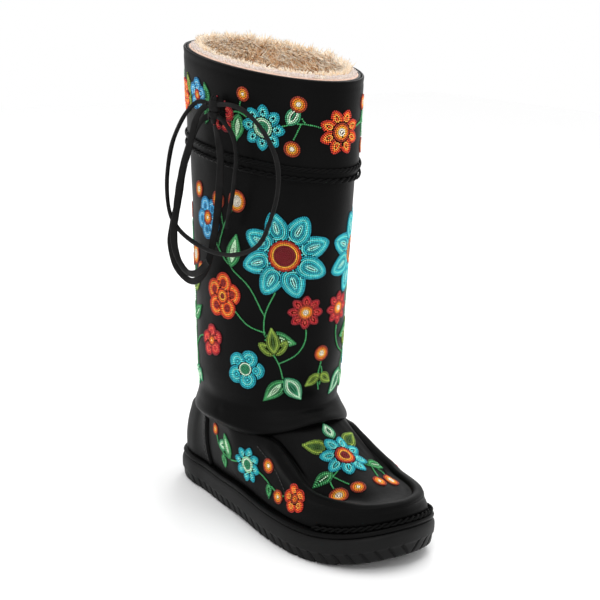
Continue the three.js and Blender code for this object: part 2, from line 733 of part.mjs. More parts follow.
const backEndRoute = [
  [-3.4, 4.6, 3.4], [-6.4, 8.6, -0.5], [-8.8, 13, -10], [-9.4, 20, -30], [-9.4, 31, -54], [-9.4, 38, -84],
  [-9.4, 42, -102], [-9.4, 40, -117], [-9.4, 32, -128], [-9.4, 19, -134], [-9.4, 4, -130],
  [-9.4, -9, -119],
];
addPiece('bow_loop_ring', thong(ringRoute, 29, thongDiameter, thongDiameter), suede);
addPiece('bow_loop_back', thong(loopRoute, 21, ribbonWidth, ribbonThickness), suede);
addPiece('tie_end_front', thong(frontEndRoute, 9, thongDiameter, thongDiameter), suede);
addPiece('tie_end_back', thong(backEndRoute, 14, ribbonWidth, ribbonThickness), suede);

// The origin is on the ground, under the middle of the boot without its thong
const body = new THREE.Box3();
group.children.filter((piece) => !/^(tie|bow)_/.test(piece.name)).forEach((piece) => body.expandByObject(piece));
const middle = body.getCenter(new THREE.Vector3());
group.position.set(-middle.x, -middle.y, -body.min.z);

export default group;
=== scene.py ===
import math
import bpy
import numpy as np
from mathutils import Matrix, Vector
from mathutils.bvhtree import BVHTree
from mathutils.noise import noise as soft_noise


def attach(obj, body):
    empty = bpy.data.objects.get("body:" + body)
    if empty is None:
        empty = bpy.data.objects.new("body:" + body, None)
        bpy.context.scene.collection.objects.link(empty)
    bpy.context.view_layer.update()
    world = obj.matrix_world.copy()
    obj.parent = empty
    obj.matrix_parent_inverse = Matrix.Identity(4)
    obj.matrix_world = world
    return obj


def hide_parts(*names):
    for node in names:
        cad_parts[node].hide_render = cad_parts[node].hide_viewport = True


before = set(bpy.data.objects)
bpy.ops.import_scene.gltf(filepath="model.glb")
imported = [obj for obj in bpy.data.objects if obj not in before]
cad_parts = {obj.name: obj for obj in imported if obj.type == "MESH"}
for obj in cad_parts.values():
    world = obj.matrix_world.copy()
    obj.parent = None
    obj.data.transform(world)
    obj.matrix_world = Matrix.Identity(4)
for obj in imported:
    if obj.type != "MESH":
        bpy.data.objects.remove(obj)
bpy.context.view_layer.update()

# The view of the photograph: its place and lens were found from the boot's outline. The camera stands
# where the photograph's stood and is turned to the one boot that is built.
CAMERA_PLACE = Vector((-0.6481, -0.8236, 0.4508))
CAMERA_TARGET = Vector((-0.0015, 0.0, 0.1877))
CAMERA_ROLL = 1.9
CAMERA_LENS = 78.76
camera_data = bpy.data.cameras.new("camera")
camera_data.lens = CAMERA_LENS
camera_data.sensor_width = 36


def add_object(name, data):
    """A new object in the scene."""
    added = bpy.data.objects.new(name, data)
    bpy.context.collection.objects.link(added)
    return added


camera = add_object("camera", camera_data)
facing = (CAMERA_TARGET - CAMERA_PLACE).to_track_quat("-Z", "Y").to_matrix().to_4x4()
rolled = Matrix.Rotation(math.radians(CAMERA_ROLL), 4, "Z")
camera.matrix_world = Matrix.Translation(CAMERA_PLACE) @ facing @ rolled
bpy.context.scene.camera = camera


# Outsole: a moulded black rubber unit with cross lugs underneath and leaning notches in its side wall.
# Its plan is a smooth closed curve through a few widths, and its underside has a low arch and toe spring.
PLACE = np.array([0, -0.00013, 0])  # the model is set over the middle of its box
SOLE_LENGTH = 0.2813
BALL_WIDTH = 0.113
HEEL_WIDTH = 0.0784
TOE_SHIFT = 0.0043
SHIFT_START, SHIFT_RUN = 0.3, 0.7  # shares of the length from the heel, here and in the next two
SPRING_START, SPRING_RUN = 0.765, 0.235
ARCH_START, ARCH_RUN = 0.30, 0.30
SOLE_HEIGHT = 0.022
TOE_SPRING = 0.0143
ARCH_RISE = 0.0016
LUG_PITCH = 0.018
LUG_GROOVE = 0.0032
LUG_DEPTH = 0.003
LUG_ZONES = ((0.06, 0.30), (0.50, 0.90))  # heel and ball, as shares of the length
NOTCH_PITCH = 0.011
NOTCH_WIDTH = 0.0019
NOTCH_HEIGHT = 0.0095
NOTCH_DEPTH = 0.0014
NOTCH_LEAN = 0.68
NOTCH_MIDDLE = 0.26  # share of the sole's height
NOTCHES_END = (0.80, 0.86)  # shares of the way from the toe to the heel, where they fade out
PLAN_TABLE = [  # share of the length, width's size, lateral and medial share of it
    (0.000, HEEL_WIDTH, 0.000, 0.000),
    (0.015, HEEL_WIDTH, 0.225, 0.225),
    (0.050, HEEL_WIDTH, 0.390, 0.390),
    (0.120, HEEL_WIDTH, 0.485, 0.485),
    (0.220, HEEL_WIDTH, 0.510, 0.490),
    (0.350, BALL_WIDTH, 0.400, 0.350),
    (0.500, BALL_WIDTH, 0.455, 0.370),
    (0.650, BALL_WIDTH, 0.500, 0.455),
    (0.750, BALL_WIDTH, 0.500, 0.500),
    (0.850, BALL_WIDTH, 0.440, 0.480),
    (0.930, BALL_WIDTH, 0.330, 0.380),
    (0.980, BALL_WIDTH, 0.180, 0.220),
    (1.000, BALL_WIDTH, 0.000, 0.000),
]


def plan_point(row, side):
    share, width, lateral, medial = row
    shift = TOE_SHIFT * max((share - SHIFT_START) / SHIFT_RUN, 0) ** 2
    return (side * width * (lateral if side < 0 else medial) + shift, SOLE_LENGTH * (0.5 - share))


def unit(vectors):
    """The vectors at length 1."""
    return vectors / np.linalg.norm(vectors, axis=-1, keepdims=True)


def run_along(points):
    """The distance along a line at each of its points."""
    return np.r_[0, np.cumsum(np.linalg.norm(np.diff(points, axis=0), axis=1))]


def in_even_steps(points, count, with_end=True):
    """A number of points at even distances along a line."""
    run = run_along(points)
    even = np.linspace(0, run[-1], count, endpoint=with_end)
    return np.stack([np.interp(even, run, points[:, k]) for k in range(points.shape[1])], 1)


def smooth_span(p, steps):
    """A centripetal Catmull-Rom curve from the second to the third of four points."""
    knots = np.cumsum([0] + [np.linalg.norm(p[k + 1] - p[k]) ** 0.5 for k in range(3)])
    t = np.linspace(knots[1], knots[2], steps, endpoint=False)[:, None]

    def between(a, b, low, high):
        return (a * (high - t) + b * (t - low)) / (high - low)

    a = [between(p[k], p[k + 1], knots[k], knots[k + 1]) for k in range(3)]
    b = [between(a[k], a[k + 1], knots[k], knots[k + 2]) for k in range(2)]
    return between(b[0], b[1], knots[1], knots[2])


PLAN_STEPS = 1440
plan_rows = [plan_point(row, -1) for row in PLAN_TABLE]
plan_rows += [plan_point(row, 1) for row in PLAN_TABLE[1:-1]][::-1]
plan_curve = [smooth_span(np.roll(plan_rows, 1 - i, 0)[:4], 60) for i in range(len(plan_rows))]
plan_curve = np.vstack(plan_curve + [plan_curve[0][:1]])
PLAN = in_even_steps(plan_curve, PLAN_STEPS, False)
PLAN_GIRTH = run_along(plan_curve)[-1]
TOE_STEP = int(PLAN[:, 1].argmin())
plan_along = unit(np.roll(PLAN, -4, 0) - np.roll(PLAN, 4, 0))
PLAN_INWARD = np.stack([-plan_along[:, 1], plan_along[:, 0]], 1)


def edge(turn, inset):
    """Places on the plan: turn is 0 at the heel's back, runs over the lateral side to 0.5 at the toe and
    back over the medial side; inset moves them inwards."""
    whole = np.mod(turn, 1.0)
    first = whole * 2 * TOE_STEP
    second = TOE_STEP + (whole * 2 - 1) * (PLAN_STEPS - TOE_STEP)
    step = np.where(whole < 0.5, first, second)
    low = np.floor(step).astype(int)
    part = (step - low)[:, None]
    here, after = low % PLAN_STEPS, (low + 1) % PLAN_STEPS
    place = PLAN[here] * (1 - part) + PLAN[after] * part
    inward = PLAN_INWARD[here] * (1 - part) + PLAN_INWARD[after] * part
    return place + inward * np.reshape(inset, (-1, 1)), inward


def underside(y):
    share = 0.5 - np.asarray(y) / SOLE_LENGTH
    spring = TOE_SPRING * np.maximum((share - SPRING_START) / SPRING_RUN, 0) ** 2
    return spring + ARCH_RISE * np.sin(np.pi * np.clip((share - ARCH_START) / ARCH_RUN, 0, 1)) ** 2


def read_table(table, column, place):
    """Shape-preserving curve through a column of a table whose first column is the key."""
    rows = np.array(table, float)
    key, value = rows[:, 0], rows[:, column]
    slope = np.diff(value) / np.diff(key)
    before, after = slope[:-1], slope[1:]
    same = before * after > 0
    inner = np.where(same, 2 * before * after / np.where(same, before + after, 1), 0)
    tangent = np.r_[slope[0], inner, slope[-1]]
    place = np.clip(place, key[0], key[-1])
    i = np.clip(np.searchsorted(key, place, "right") - 1, 0, len(key) - 2)
    span = key[i + 1] - key[i]
    t = (place - key[i]) / span
    rise = t * t * (3 - 2 * t)
    bend = t * (1 - t) * ((1 - t) * tangent[i] - t * tangent[i + 1])
    return value[i] * (1 - rise) + value[i + 1] * rise + span * bend


def smooth_step(low, high, value):
    t = np.clip((np.asarray(value, float) - low) / (high - low), 0, 1)
    return t * t * (3 - 2 * t)


def make_piece(name, points, faces, shade=True):
    """A mesh object from an array of points and a list or array of faces."""
    mesh = bpy.data.meshes.new(name)
    faces = [np.asarray(f, np.int32) for f in (faces if isinstance(faces, list) else [faces])]
    sizes = np.concatenate([np.full(len(f), f.shape[1], np.int32) for f in faces])
    corners = np.concatenate([f.ravel() for f in faces])
    mesh.vertices.add(len(points))
    mesh.vertices.foreach_set("co", (np.asarray(points) + PLACE).astype(np.float32).ravel())
    mesh.loops.add(len(corners))
    mesh.loops.foreach_set("vertex_index", corners)
    mesh.polygons.add(len(sizes))
    mesh.polygons.foreach_set("loop_start", np.r_[0, np.cumsum(sizes)[:-1]].astype(np.int32))
    mesh.polygons.foreach_set("use_smooth", np.full(len(sizes), shade))
    mesh.update(calc_edges=True)
    mesh.validate()
    return add_object(name, mesh)


def grid_faces(rows, columns, close_rows, close_columns, start=0):
    """Quads of a grid of rows x columns points, closed or open in each direction."""
    r = np.arange(rows if close_rows else rows - 1)[:, None]
    c = np.arange(columns if close_columns else columns - 1)[None, :]
    r2, c2 = (r + 1) % rows, (c + 1) % columns
    quads = np.stack([r * columns + c, r * columns + c2, r2 * columns + c2, r2 * columns + c], -1)
    return quads.reshape(-1, 4) + start


def outward(piece):
    """Turns the faces out, by the sign of the enclosed volume."""
    mesh = piece.data
    mesh.calc_loop_triangles()
    tris = np.empty(len(mesh.loop_triangles) * 3, np.int32)
    mesh.loop_triangles.foreach_get("vertices", tris)
    points = np.empty(len(mesh.vertices) * 3, np.float32)
    mesh.vertices.foreach_get("co", points)
    a, b, c = points.reshape(-1, 3)[tris.reshape(-1, 3)].transpose(1, 0, 2).astype(float)
    if (a * np.cross(b, c)).sum() < 0:
        mesh.flip_normals()
    return piece


def linear(hex_colour, alpha=1.0):
    """An sRGB hex colour as linear values."""
    parts = [int(hex_colour[i:i + 2], 16) / 255 for i in (0, 2, 4)]
    return (*[p / 12.92 if p <= 0.04045 else ((p + 0.055) / 1.055) ** 2.4 for p in parts], alpha)


def add_node(tree, kind, settings=None, links=None, values=None):
    """Adds a shader node with its settings, the values of its sockets and the links into them."""
    node = tree.nodes.new(kind)
    for key, value in (settings or {}).items():
        setattr(node, key, value)
    for key, value in (values or {}).items():
        node.inputs[key].default_value = value
    for key, source in (links or {}).items():
        tree.links.new(source, node.inputs[key])
    return node


def new_material(name, constants):
    """A node material, with constants that go straight on its shader's own sockets."""
    material = bpy.data.materials.new(name)
    material.use_nodes = True
    shader = material.node_tree.nodes["Principled BSDF"]
    for socket, value in constants.items():
        shader.inputs[socket].default_value = value
    return material, material.node_tree


def feed(tree, socket, source):
    """Links a source to one of the shader's sockets."""
    tree.links.new(source, tree.nodes["Principled BSDF"].inputs[socket])


def noise_over(tree, scale, detail):
    """Noise in the object's own space."""
    where = add_node(tree, "ShaderNodeTexCoord").outputs["Object"]
    return add_node(tree, "ShaderNodeTexNoise", links={"Vector": where},
                    values={"Scale": scale, "Detail": detail}).outputs["Fac"]


def colour_steps(tree, source, stops):
    """Base colour from a ramp with its stops given as (place, hex colour)."""
    ramp = add_node(tree, "ShaderNodeValToRGB", links={"Fac": source})
    while len(ramp.color_ramp.elements) < len(stops):
        ramp.color_ramp.elements.new(0.5)
    for element, (place, colour) in zip(ramp.color_ramp.elements, stops):
        element.position = place
        element.color = linear(colour)
    feed(tree, "Base Color", ramp.outputs["Color"])


def polish(tree, source, first, last, low, high):
    """Roughness from low to high as the source goes from first to last."""
    feed(tree, "Roughness", add_node(tree, "ShaderNodeMapRange", links={"Value": source}, values={
        "From Min": first, "From Max": last, "To Min": low, "To Max": high}).outputs[0])


def relief(tree, height, strength, distance):
    """A bump in the shader's normal."""
    feed(tree, "Normal", add_node(tree, "ShaderNodeBump", links={"Height": height}, values={
        "Strength": strength, "Distance": distance}).outputs[0])


def finish_piece(piece, material, slot, *nodes):
    """Gives a piece its material and body, and hides the solids that it stands for. Its slot is not used."""
    piece.data.materials.clear()
    piece.data.materials.append(material)
    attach(piece, "root")
    if nodes:
        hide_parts(*nodes)


# Moulded rubber: dull black with a dusty bloom in the low spots and a fine pitted skin, as rubber has
# when it leaves a shot-blasted mould. Pits of about 0.6 mm.
rubber, tree = new_material("moulded_rubber", {"IOR": 1.52, "Specular IOR Level": 0.14})
bloom = noise_over(tree, 45, 4)
colour_steps(tree, bloom, [(0.35, "060606"), (0.7, "0d0d0d")])
polish(tree, bloom, 0, 1, 0.46, 0.62)
relief(tree, noise_over(tree, 1600, 3), 0.25, 0.0002)

SOLE_COLUMNS = 900
WALL_TABLE = [  # height and offset as shares of the sole's height
    (0.00, -0.150),
    (0.07, -0.040),
    (0.42, 0.020),
    (0.47, 0.058),
    (0.75, 0.070),
    (0.90, 0.045),
    (1.00, -0.030),
]


def lug_groove(y):
    """1 in the cross grooves under the ball and heel, 0 on the lugs."""
    share = 0.5 - y / SOLE_LENGTH
    depth = np.zeros_like(y)
    for low, high in LUG_ZONES:
        first = SOLE_LENGTH * (0.5 - low)
        place = np.mod(first - y + LUG_PITCH / 2, LUG_PITCH) - LUG_PITCH / 2
        inside = (share > low - 0.01) & (share < high)
        groove = 1 - smooth_step(0.42 * LUG_GROOVE, 0.62 * LUG_GROOVE, np.abs(place))
        depth = np.maximum(depth, np.where(inside, groove, 0))
    return depth


turn = np.arange(SOLE_COLUMNS) / SOLE_COLUMNS
heights = np.r_[np.linspace(0, 0.07, 4), np.linspace(0.1, 0.46, 13), np.linspace(0.5, 0.9, 7),
                0.94, 0.97, 0.99, 1.0]
half_girth = PLAN_GIRTH / 2
from_toe = np.abs(turn - 0.5) * 2 * half_girth
rings = []
for share in heights:
    height = share * SOLE_HEIGHT
    out = float(read_table(WALL_TABLE, 1, np.array([share]))[0]) * SOLE_HEIGHT
    from_middle = height - NOTCH_MIDDLE * SOLE_HEIGHT
    lean = from_middle * math.tan(NOTCH_LEAN)
    along = np.mod(from_toe - lean, NOTCH_PITCH) - NOTCH_PITCH / 2
    notch = 1 - smooth_step(0.35 * NOTCH_WIDTH, 0.75 * NOTCH_WIDTH, np.abs(along))
    reach = 1 - smooth_step(0.40 * NOTCH_HEIGHT, 0.52 * NOTCH_HEIGHT, abs(from_middle))
    notch = notch * reach * (1 - smooth_step(*NOTCHES_END, from_toe / half_girth))
    flat, _ = edge(turn, -out + NOTCH_DEPTH * notch)
    groove = lug_groove(flat[:, 1]) * LUG_DEPTH
    z = underside(flat[:, 1]) + np.maximum(height, groove)
    rings.append(np.c_[flat, z])
wall = np.vstack(rings)
# Underside and top: rungs between the two sides, with the cross grooves
half = SOLE_COLUMNS // 2
ACROSS = 9
caps = []
faces = [grid_faces(len(rings), SOLE_COLUMNS, False, True)]
start = len(wall)
for ring, low in ((rings[0], True), (rings[-1], False)):
    left, right = ring[1:half], ring[:half:-1]
    share = np.linspace(0, 1, ACROSS)[1:-1, None, None]
    rungs = left[None] * (1 - share) + right[None] * share
    if low:
        rungs[..., 2] = underside(rungs[..., 1]) + lug_groove(rungs[..., 1]) * LUG_DEPTH
    base = 0 if low else (len(rings) - 1) * SOLE_COLUMNS
    caps.append(rungs.reshape(-1, 3))
    middle = start + np.arange(rungs.shape[0] * rungs.shape[1]).reshape(rungs.shape[:2])
    last = base + np.arange(SOLE_COLUMNS - 1, half, -1)
    grid = np.vstack([base + np.arange(1, half)[None], middle, last[None]])
    faces.append(np.stack([grid[:-1, :-1], grid[1:, :-1], grid[1:, 1:], grid[:-1, 1:]], -1).reshape(-1, 4))
    for tip, column in ((base, 0), (base + half, -1)):
        rim = grid[:, column]
        faces.append(np.stack([np.full(len(rim) - 1, tip), rim[:-1], rim[1:]], -1))
    start += rungs.shape[0] * rungs.shape[1]
outsole = outward(make_piece("outsole_rubber", np.vstack([wall] + caps), faces))
bpy.context.view_layer.objects.active = outsole
outsole.select_set(True)
bpy.ops.object.mode_set(mode="EDIT")
bpy.ops.mesh.select_all(action="SELECT")
bpy.ops.mesh.normals_make_consistent(inside=False)
bpy.ops.object.mode_set(mode="OBJECT")
outsole.select_set(False)
finish_piece(outsole, rubber, "rubber", "outsole")


# Welt: a smooth leather band on the sole's edge, skived round at its rim, with a groove where it meets the
# rubber. Pressed and polished, so smoother than the upper.
WELT_HEIGHT = 0.0045
WELT_WIDTH = 0.0105
WELT_GAP = 0.0003
welt_base = SOLE_HEIGHT + WELT_GAP
WELT_PROFILE = [  # inset and height, the height as a share of the welt's
    (0.0022, 0.00), (0.0006, 0.04), (-0.0002, 0.20), (-0.0006, 0.45), (-0.0006, 0.62), (-0.0002, 0.84),
    (0.0008, 0.97), (0.0030, 1.00), (WELT_WIDTH, 1.00), (WELT_WIDTH, 0.00),
]
WELT_COLUMNS = 480


def leather_material(name, colour, sheen_colour, cell, depth, low, high):
    """Finished leather: a fine pebbled grain with pores and slow changes of polish."""
    material, tree = new_material(name, {"IOR": 1.5, "Specular IOR Level": 0.055})
    where = add_node(tree, "ShaderNodeTexCoord").outputs["Object"]
    warp = add_node(tree, "ShaderNodeTexNoise", links={"Vector": where}, values={"Scale": 260, "Detail": 2})
    moved = add_node(tree, "ShaderNodeMixRGB", settings={"blend_type": "LINEAR_LIGHT"},
                     links={"Color1": where, "Color2": warp.outputs["Color"]}, values={"Fac": 0.0012})
    pebbles = add_node(tree, "ShaderNodeTexVoronoi", settings={"feature": "SMOOTH_F1"},
                       links={"Vector": moved.outputs[0]}, values={"Scale": 1 / cell, "Smoothness": 0.35})
    pores = noise_over(tree, 2.2 / cell, 3)
    height = add_node(tree, "ShaderNodeMath", settings={"operation": "MULTIPLY_ADD"},
                      links={0: pores, 2: pebbles.outputs["Distance"]}, values={1: 0.5})
    broad = noise_over(tree, 22, 5)
    colour_steps(tree, broad, [(0.3, colour), (0.75, sheen_colour)])
    polish(tree, broad, 0.3, 0.7, low, high)
    relief(tree, height.outputs[0], 0.5, depth)
    return material


# Pressed welt leather: nearly smooth, pebbles of 0.7 mm and 0.05 mm deep
welt_leather = leather_material("pressed_welt_leather", "050505", "0b0b0b", 0.0007, 0.00005, 0.34, 0.48)
turn = np.arange(WELT_COLUMNS) / WELT_COLUMNS
rings = []
for inset, share in WELT_PROFILE:
    flat, _ = edge(turn, inset)
    rings.append(np.c_[flat, underside(flat[:, 1]) + welt_base + share * WELT_HEIGHT])
welt_faces = grid_faces(len(rings), WELT_COLUMNS, True, True)
welt = outward(make_piece("welt_band", np.vstack(rings), welt_faces))
finish_piece(welt, welt_leather, "leather", "welt")


# Insole: the footbed, a pad of cream wool felt laid inside the welt. Its solid has the right shape, so it
# only gets its material here.
felt, tree = new_material("wool_felt", {"Roughness": 0.95})
fibres = noise_over(tree, 900, 6)
colour_steps(tree, fibres, [(0.3, "b99a6c"), (0.7, "dcc49c")])
relief(tree, fibres, 0.6, 0.0006)
insole = bpy.data.objects["insole"]
insole.data.materials.clear()
insole.data.materials.append(felt)


# Upper: the moccasin foot part, one hollow leather shell. A smooth side wall rises to a rolled ridge, the
# apron lies inside the ridge, and the throat runs up under the leg. Creases are placed one by one.
MM = 0.001
UPPER_INSET = 0.0045
UPPER_WALL = 0.0028
SIDE_BULGE = 0.0022
RIDGE_WIDTH = 0.010
RIDGE_HEIGHT = 0.003
APRON_STEP = 0.002
ANKLE_HEIGHT = 0.092
ANKLE_LENGTH = 0.125
ANKLE_WIDTH = 0.102
ANKLE_CENTRE = 0.043
INSTEP_LIFT = 0.008
COLLAR_HEIGHT = 0.112
COLLAR_DRAW = 0.0026
WELT_TOP = welt_base + WELT_HEIGHT
LAST_TABLE = [  # run heel to toe, ridge inset lateral and medial, its height, its roll, ankle angle
    (0.000, 0.085, 0.085, 0.760, 0.0, 0),
    (0.100, 0.080, 0.080, 0.760, 0.0, 24),
    (0.190, 0.070, 0.070, 0.760, 0.0, 43),
    (0.283, -0.010, -0.010, 0.770, 0.0, 62),
    (0.413, -0.035, -0.060, 0.800, 0.0, 86),
    (0.500, 0.045, -0.015, 0.860, 0.3, 106),
    (0.543, 0.090, 0.040, 0.870, 0.8, 121),
    (0.587, 0.112, 0.066, 0.800, 1.0, 134),
    (0.630, 0.115, 0.070, 0.710, 1.0, 144),
    (0.674, 0.106, 0.075, 0.635, 1.0, 152),
    (0.727, 0.097, 0.100, 0.585, 1.0, 159),
    (0.810, 0.085, 0.115, 0.555, 1.0, 167),
    (0.900, 0.075, 0.105, 0.510, 1.0, 174),
    (1.000, 0.080, 0.080, 0.490, 1.0, 180),
]
STATIONS = 13


def leg_place(angle, side, centre, length, width, height):
    return np.stack([side * width * np.sin(angle) / 2, centre + length * np.cos(angle) / 2,
                     height + np.zeros_like(angle)], -1)


def foot_stations(turn):
    """Stations of the foot part's outer face, from the welt up to the collar, for an array of turns."""
    turn = np.asarray(turn, float)
    whole = np.mod(turn, 1)
    place = 1 - np.abs(1 - 2 * whole)
    side = np.where(whole < 0.5, -1.0, 1.0)
    roll = read_table(LAST_TABLE, 4, place)[:, None]
    insets = [read_table(LAST_TABLE, column, place) for column in (1, 2)]
    inset = np.where(side < 0, *insets) * BALL_WIDTH
    angle = np.radians(read_table(LAST_TABLE, 5, place))
    front = smooth_step(0.45, 0.75, place)
    flat, inward = edge(turn, UPPER_INSET)
    inward = np.c_[inward, np.zeros(len(turn))]
    foot = np.c_[flat, underside(flat[:, 1]) + WELT_TOP + WELT_GAP]
    flat, _ = edge(turn, inset)
    ridge = np.c_[flat, underside(flat[:, 1]) + read_table(LAST_TABLE, 3, place) * ANKLE_HEIGHT]

    def drawn(height, draw):
        return leg_place(angle, side, ANKLE_CENTRE, ANKLE_LENGTH - 2 * draw, ANKLE_WIDTH - 2 * draw, height)

    ankle = drawn(ANKLE_HEIGHT + INSTEP_LIFT * front, 0)

    def shifted(points, inwards, up):
        return points + inward * inwards + np.array([0, 0, up])

    def wall(share):
        return shifted(foot + (ridge - foot) * share, -SIDE_BULGE * math.sin(math.pi * share), 0)

    def plain_up(share):
        return ridge + (ankle - ridge) * share

    def mix(plain, rolled):
        return plain + (rolled - plain) * roll

    half = RIDGE_WIDTH / 2
    apron = mix(plain_up(0.3), shifted(ridge, half + APRON_STEP, -RIDGE_HEIGHT))
    slope = 1 + 0.9 * smooth_step(0.6, 0.9, place)

    def vamp(share):
        points = apron + (ankle - apron) * share
        points[:, 2] = apron[:, 2] + (ankle[:, 2] - apron[:, 2]) * share ** slope
        return points

    collar_step = ANKLE_HEIGHT + 0.6 * (COLLAR_HEIGHT - ANKLE_HEIGHT) + 0.4 * INSTEP_LIFT * front
    return np.stack([
        foot, wall(0.35), wall(0.68),
        mix(wall(0.85), shifted(ridge, -half * 0.75, -0.8 * RIDGE_HEIGHT)),
        ridge,
        mix(plain_up(0.15), shifted(ridge, half * 0.75, -0.35 * RIDGE_HEIGHT)),
        apron, vamp(0.3), vamp(0.55), vamp(0.8), ankle,
        drawn(collar_step, 0.8 * COLLAR_DRAW), drawn(COLLAR_HEIGHT, COLLAR_DRAW),
    ], 1)


def smooth_rows(points, places):
    """Catmull-Rom curves over the second axis of points, read at places given in steps of its rows."""
    count = points.shape[1]
    places = np.clip(places, 0, count - 1 - 1e-9)
    i = np.floor(places).astype(int)
    t = (places - i)[None, :, None]
    at = [points[:, np.clip(i + k, 0, count - 1)] for k in (-1, 0, 1, 2)]
    lengths = [np.linalg.norm(at[k + 1] - at[k], axis=2, keepdims=True) + 1e-6 for k in range(3)]
    first = (at[1] - at[0]) / lengths[0] - (at[2] - at[0]) / (lengths[0] + lengths[1])
    first = (first + (at[2] - at[1]) / lengths[1]) * lengths[1]
    last = (at[2] - at[1]) / lengths[1] - (at[3] - at[1]) / (lengths[1] + lengths[2])
    last = (last + (at[3] - at[2]) / lengths[2]) * lengths[1]
    start, end = i == 0, i + 2 > count - 1
    first[:, start] = (at[2] - at[1])[:, start]
    last[:, end] = (at[2] - at[1])[:, end]
    rise = t * t * (3 - 2 * t)
    return at[1] * (1 - rise) + at[2] * rise + first * t * (1 - t) ** 2 - last * t * t * (1 - t)


def grid_normals(points):
    """Outward normals of a columns x rows x 3 grid that runs round the boot and up."""
    around = np.roll(points, -1, 0) - np.roll(points, 1, 0)
    normal = np.cross(around, np.gradient(points, axis=1))
    return normal / (np.linalg.norm(normal, axis=2, keepdims=True) + 1e-12)


def crease(points, route, width, depth, shoulder=0.5):
    """Push along the normal, in metres, for a soft trough along a given route with a low ridge at
    each side. It fades at both ends of the route."""
    route = np.array(route, float) * MM
    flat = points.reshape(-1, 3)
    best = np.full(len(flat), 1e9)
    run = np.zeros(len(flat))
    done = 0.0
    for a, b in zip(route[:-1], route[1:]):
        along = b - a
        length = np.linalg.norm(along)
        t = np.clip((flat - a) @ along / length ** 2, 0, 1)
        away = np.linalg.norm(flat - a - t[:, None] * along, axis=1)
        closer = away < best
        best = np.where(closer, away, best)
        run = np.where(closer, done + t * length, run)
        done += length
    fade = np.sin(np.pi * np.clip(run / done, 0.0, 1.0)) ** 0.6
    x = best / (width * MM)
    push = -np.exp(-x ** 2) + shoulder * np.exp(-((x - 1.9) / 0.9) ** 2)
    return (depth * MM * push * fade).reshape(points.shape[:-1])


def soft_lumps(points, *waves):
    """Smooth noise over a grid of points, a sum of waves given as (scale, share)."""
    lumps = [sum(share * soft_noise(Vector(p) * scale) for scale, share in waves)
             for p in points.reshape(-1, 3)]
    return np.array(lumps).reshape(points.shape[:2])


def kept_between(rows, start, full, last, end):
    """0 before start, 1 from full to last and 0 after end."""
    return smooth_step(start, full, rows) * (1 - smooth_step(last, end, rows))


def creased_skin(face, creases, unevenness, waves, firm, push=0):
    """A face pushed along its normals by its creases and a soft unevenness, where it isn't held firm."""
    push = push + sum(crease(face, *row) for row in creases)
    push = (push + unevenness * soft_lumps(face, *waves)) * firm
    return face + grid_normals(face) * push[..., None]


def shell_piece(name, grid, close_around=True):
    """A closed shell from a columns x rows x 3 grid that runs up outside and down inside."""
    faces = grid_faces(grid.shape[0], grid.shape[1], close_around, True)
    return outward(make_piece(name, grid.reshape(-1, 3), faces))


FOOT_COLUMNS = 400
FOOT_UNEVENNESS = 0.00035
APRON_FRONT = (0.5, 0.62)  # shares of the way to the toe over which the apron's seam comes in
APRON_SEAM = [  # depth, station row and width: the groove, the swell outside it and the ridge's foot
    (-0.0006, 5.75, 0.26),
    (0.0006, 4.75, 0.55),
    (-0.0005, 2.95, 0.16),
]
OUTER_ROWS = np.r_[np.linspace(0, 3, 19), np.linspace(3.12, 6.2, 27), np.linspace(6.4, 10, 17),
                   np.linspace(10.5, 12, 4)]
foot_turn = np.arange(FOOT_COLUMNS) / FOOT_COLUMNS
foot_face = smooth_rows(foot_stations(foot_turn), OUTER_ROWS)
FOOT_CREASES = [  # route in mm, width and depth in mm
    ([(-38, -44, 92), (-20, -50, 91), (0, -53, 90), (20, -50, 91), (34, -44, 90)], 3.6, 0.5),
    ([(-40, -58, 82), (-22, -67, 79), (-4, -70, 78), (14, -66, 79)], 3.4, 0.35),
    ([(-26, -78, 72), (-10, -83, 71), (8, -80, 72), (24, -74, 74)], 3.2, 0.25),
    ([(-50, -14, 84), (-54, -28, 70), (-56, -40, 56)], 5.0, 0.12),
    ([(-47, 12, 82), (-51, -2, 66), (-54, -14, 50)], 5.5, 0.15),
    ([(-46, 34, 78), (-47, 24, 62), (-48, 12, 48)], 4.5, 0.15),
    ([(-57, -62, 50), (-58, -78, 44), (-56, -94, 41)], 4.0, 0.25),
    ([(-44, -112, 42), (-30, -126, 42), (-10, -136, 43)], 3.5, 0.25),
    ([(50, -14, 84), (52, -30, 68), (54, -46, 52)], 5.0, 0.2),
    ([(46, 8, 82), (49, -6, 64), (52, -22, 46)], 5.0, 0.2),
    ([(46, 34, 78), (45, 24, 62), (46, 10, 48)], 4.5, 0.3),
    ([(-50, -8, 74), (-53, -29, 61), (-56, -51, 43)], 1.2, 0.16),
    ([(50, -8, 74), (53, -29, 61), (57, -51, 43)], 1.2, 0.16),
]
seam = sum(depth * np.exp(-((OUTER_ROWS - row) / width) ** 2) for depth, row, width in APRON_SEAM)
seam = smooth_step(*APRON_FRONT, 1 - np.abs(1 - 2 * foot_turn))[:, None] * seam
firm = kept_between(OUTER_ROWS, 0, 3, 11, 12)
foot_skin = creased_skin(foot_face, FOOT_CREASES, FOOT_UNEVENNESS, [(34, 1)], firm, seam)
inner_rows = np.r_[np.linspace(12, 6, 9), np.linspace(5.5, 0, 9)]
foot_inner = smooth_rows(foot_stations(foot_turn), inner_rows)
foot_inner = foot_inner + grid_normals(foot_inner) * UPPER_WALL
foot_inner[:, 0, 2] = foot_skin[:, -1, 2]
foot_inner[:, -1, 2] = foot_skin[:, 0, 2]
upper = shell_piece("upper_leather", np.concatenate([foot_skin, foot_inner], 1))
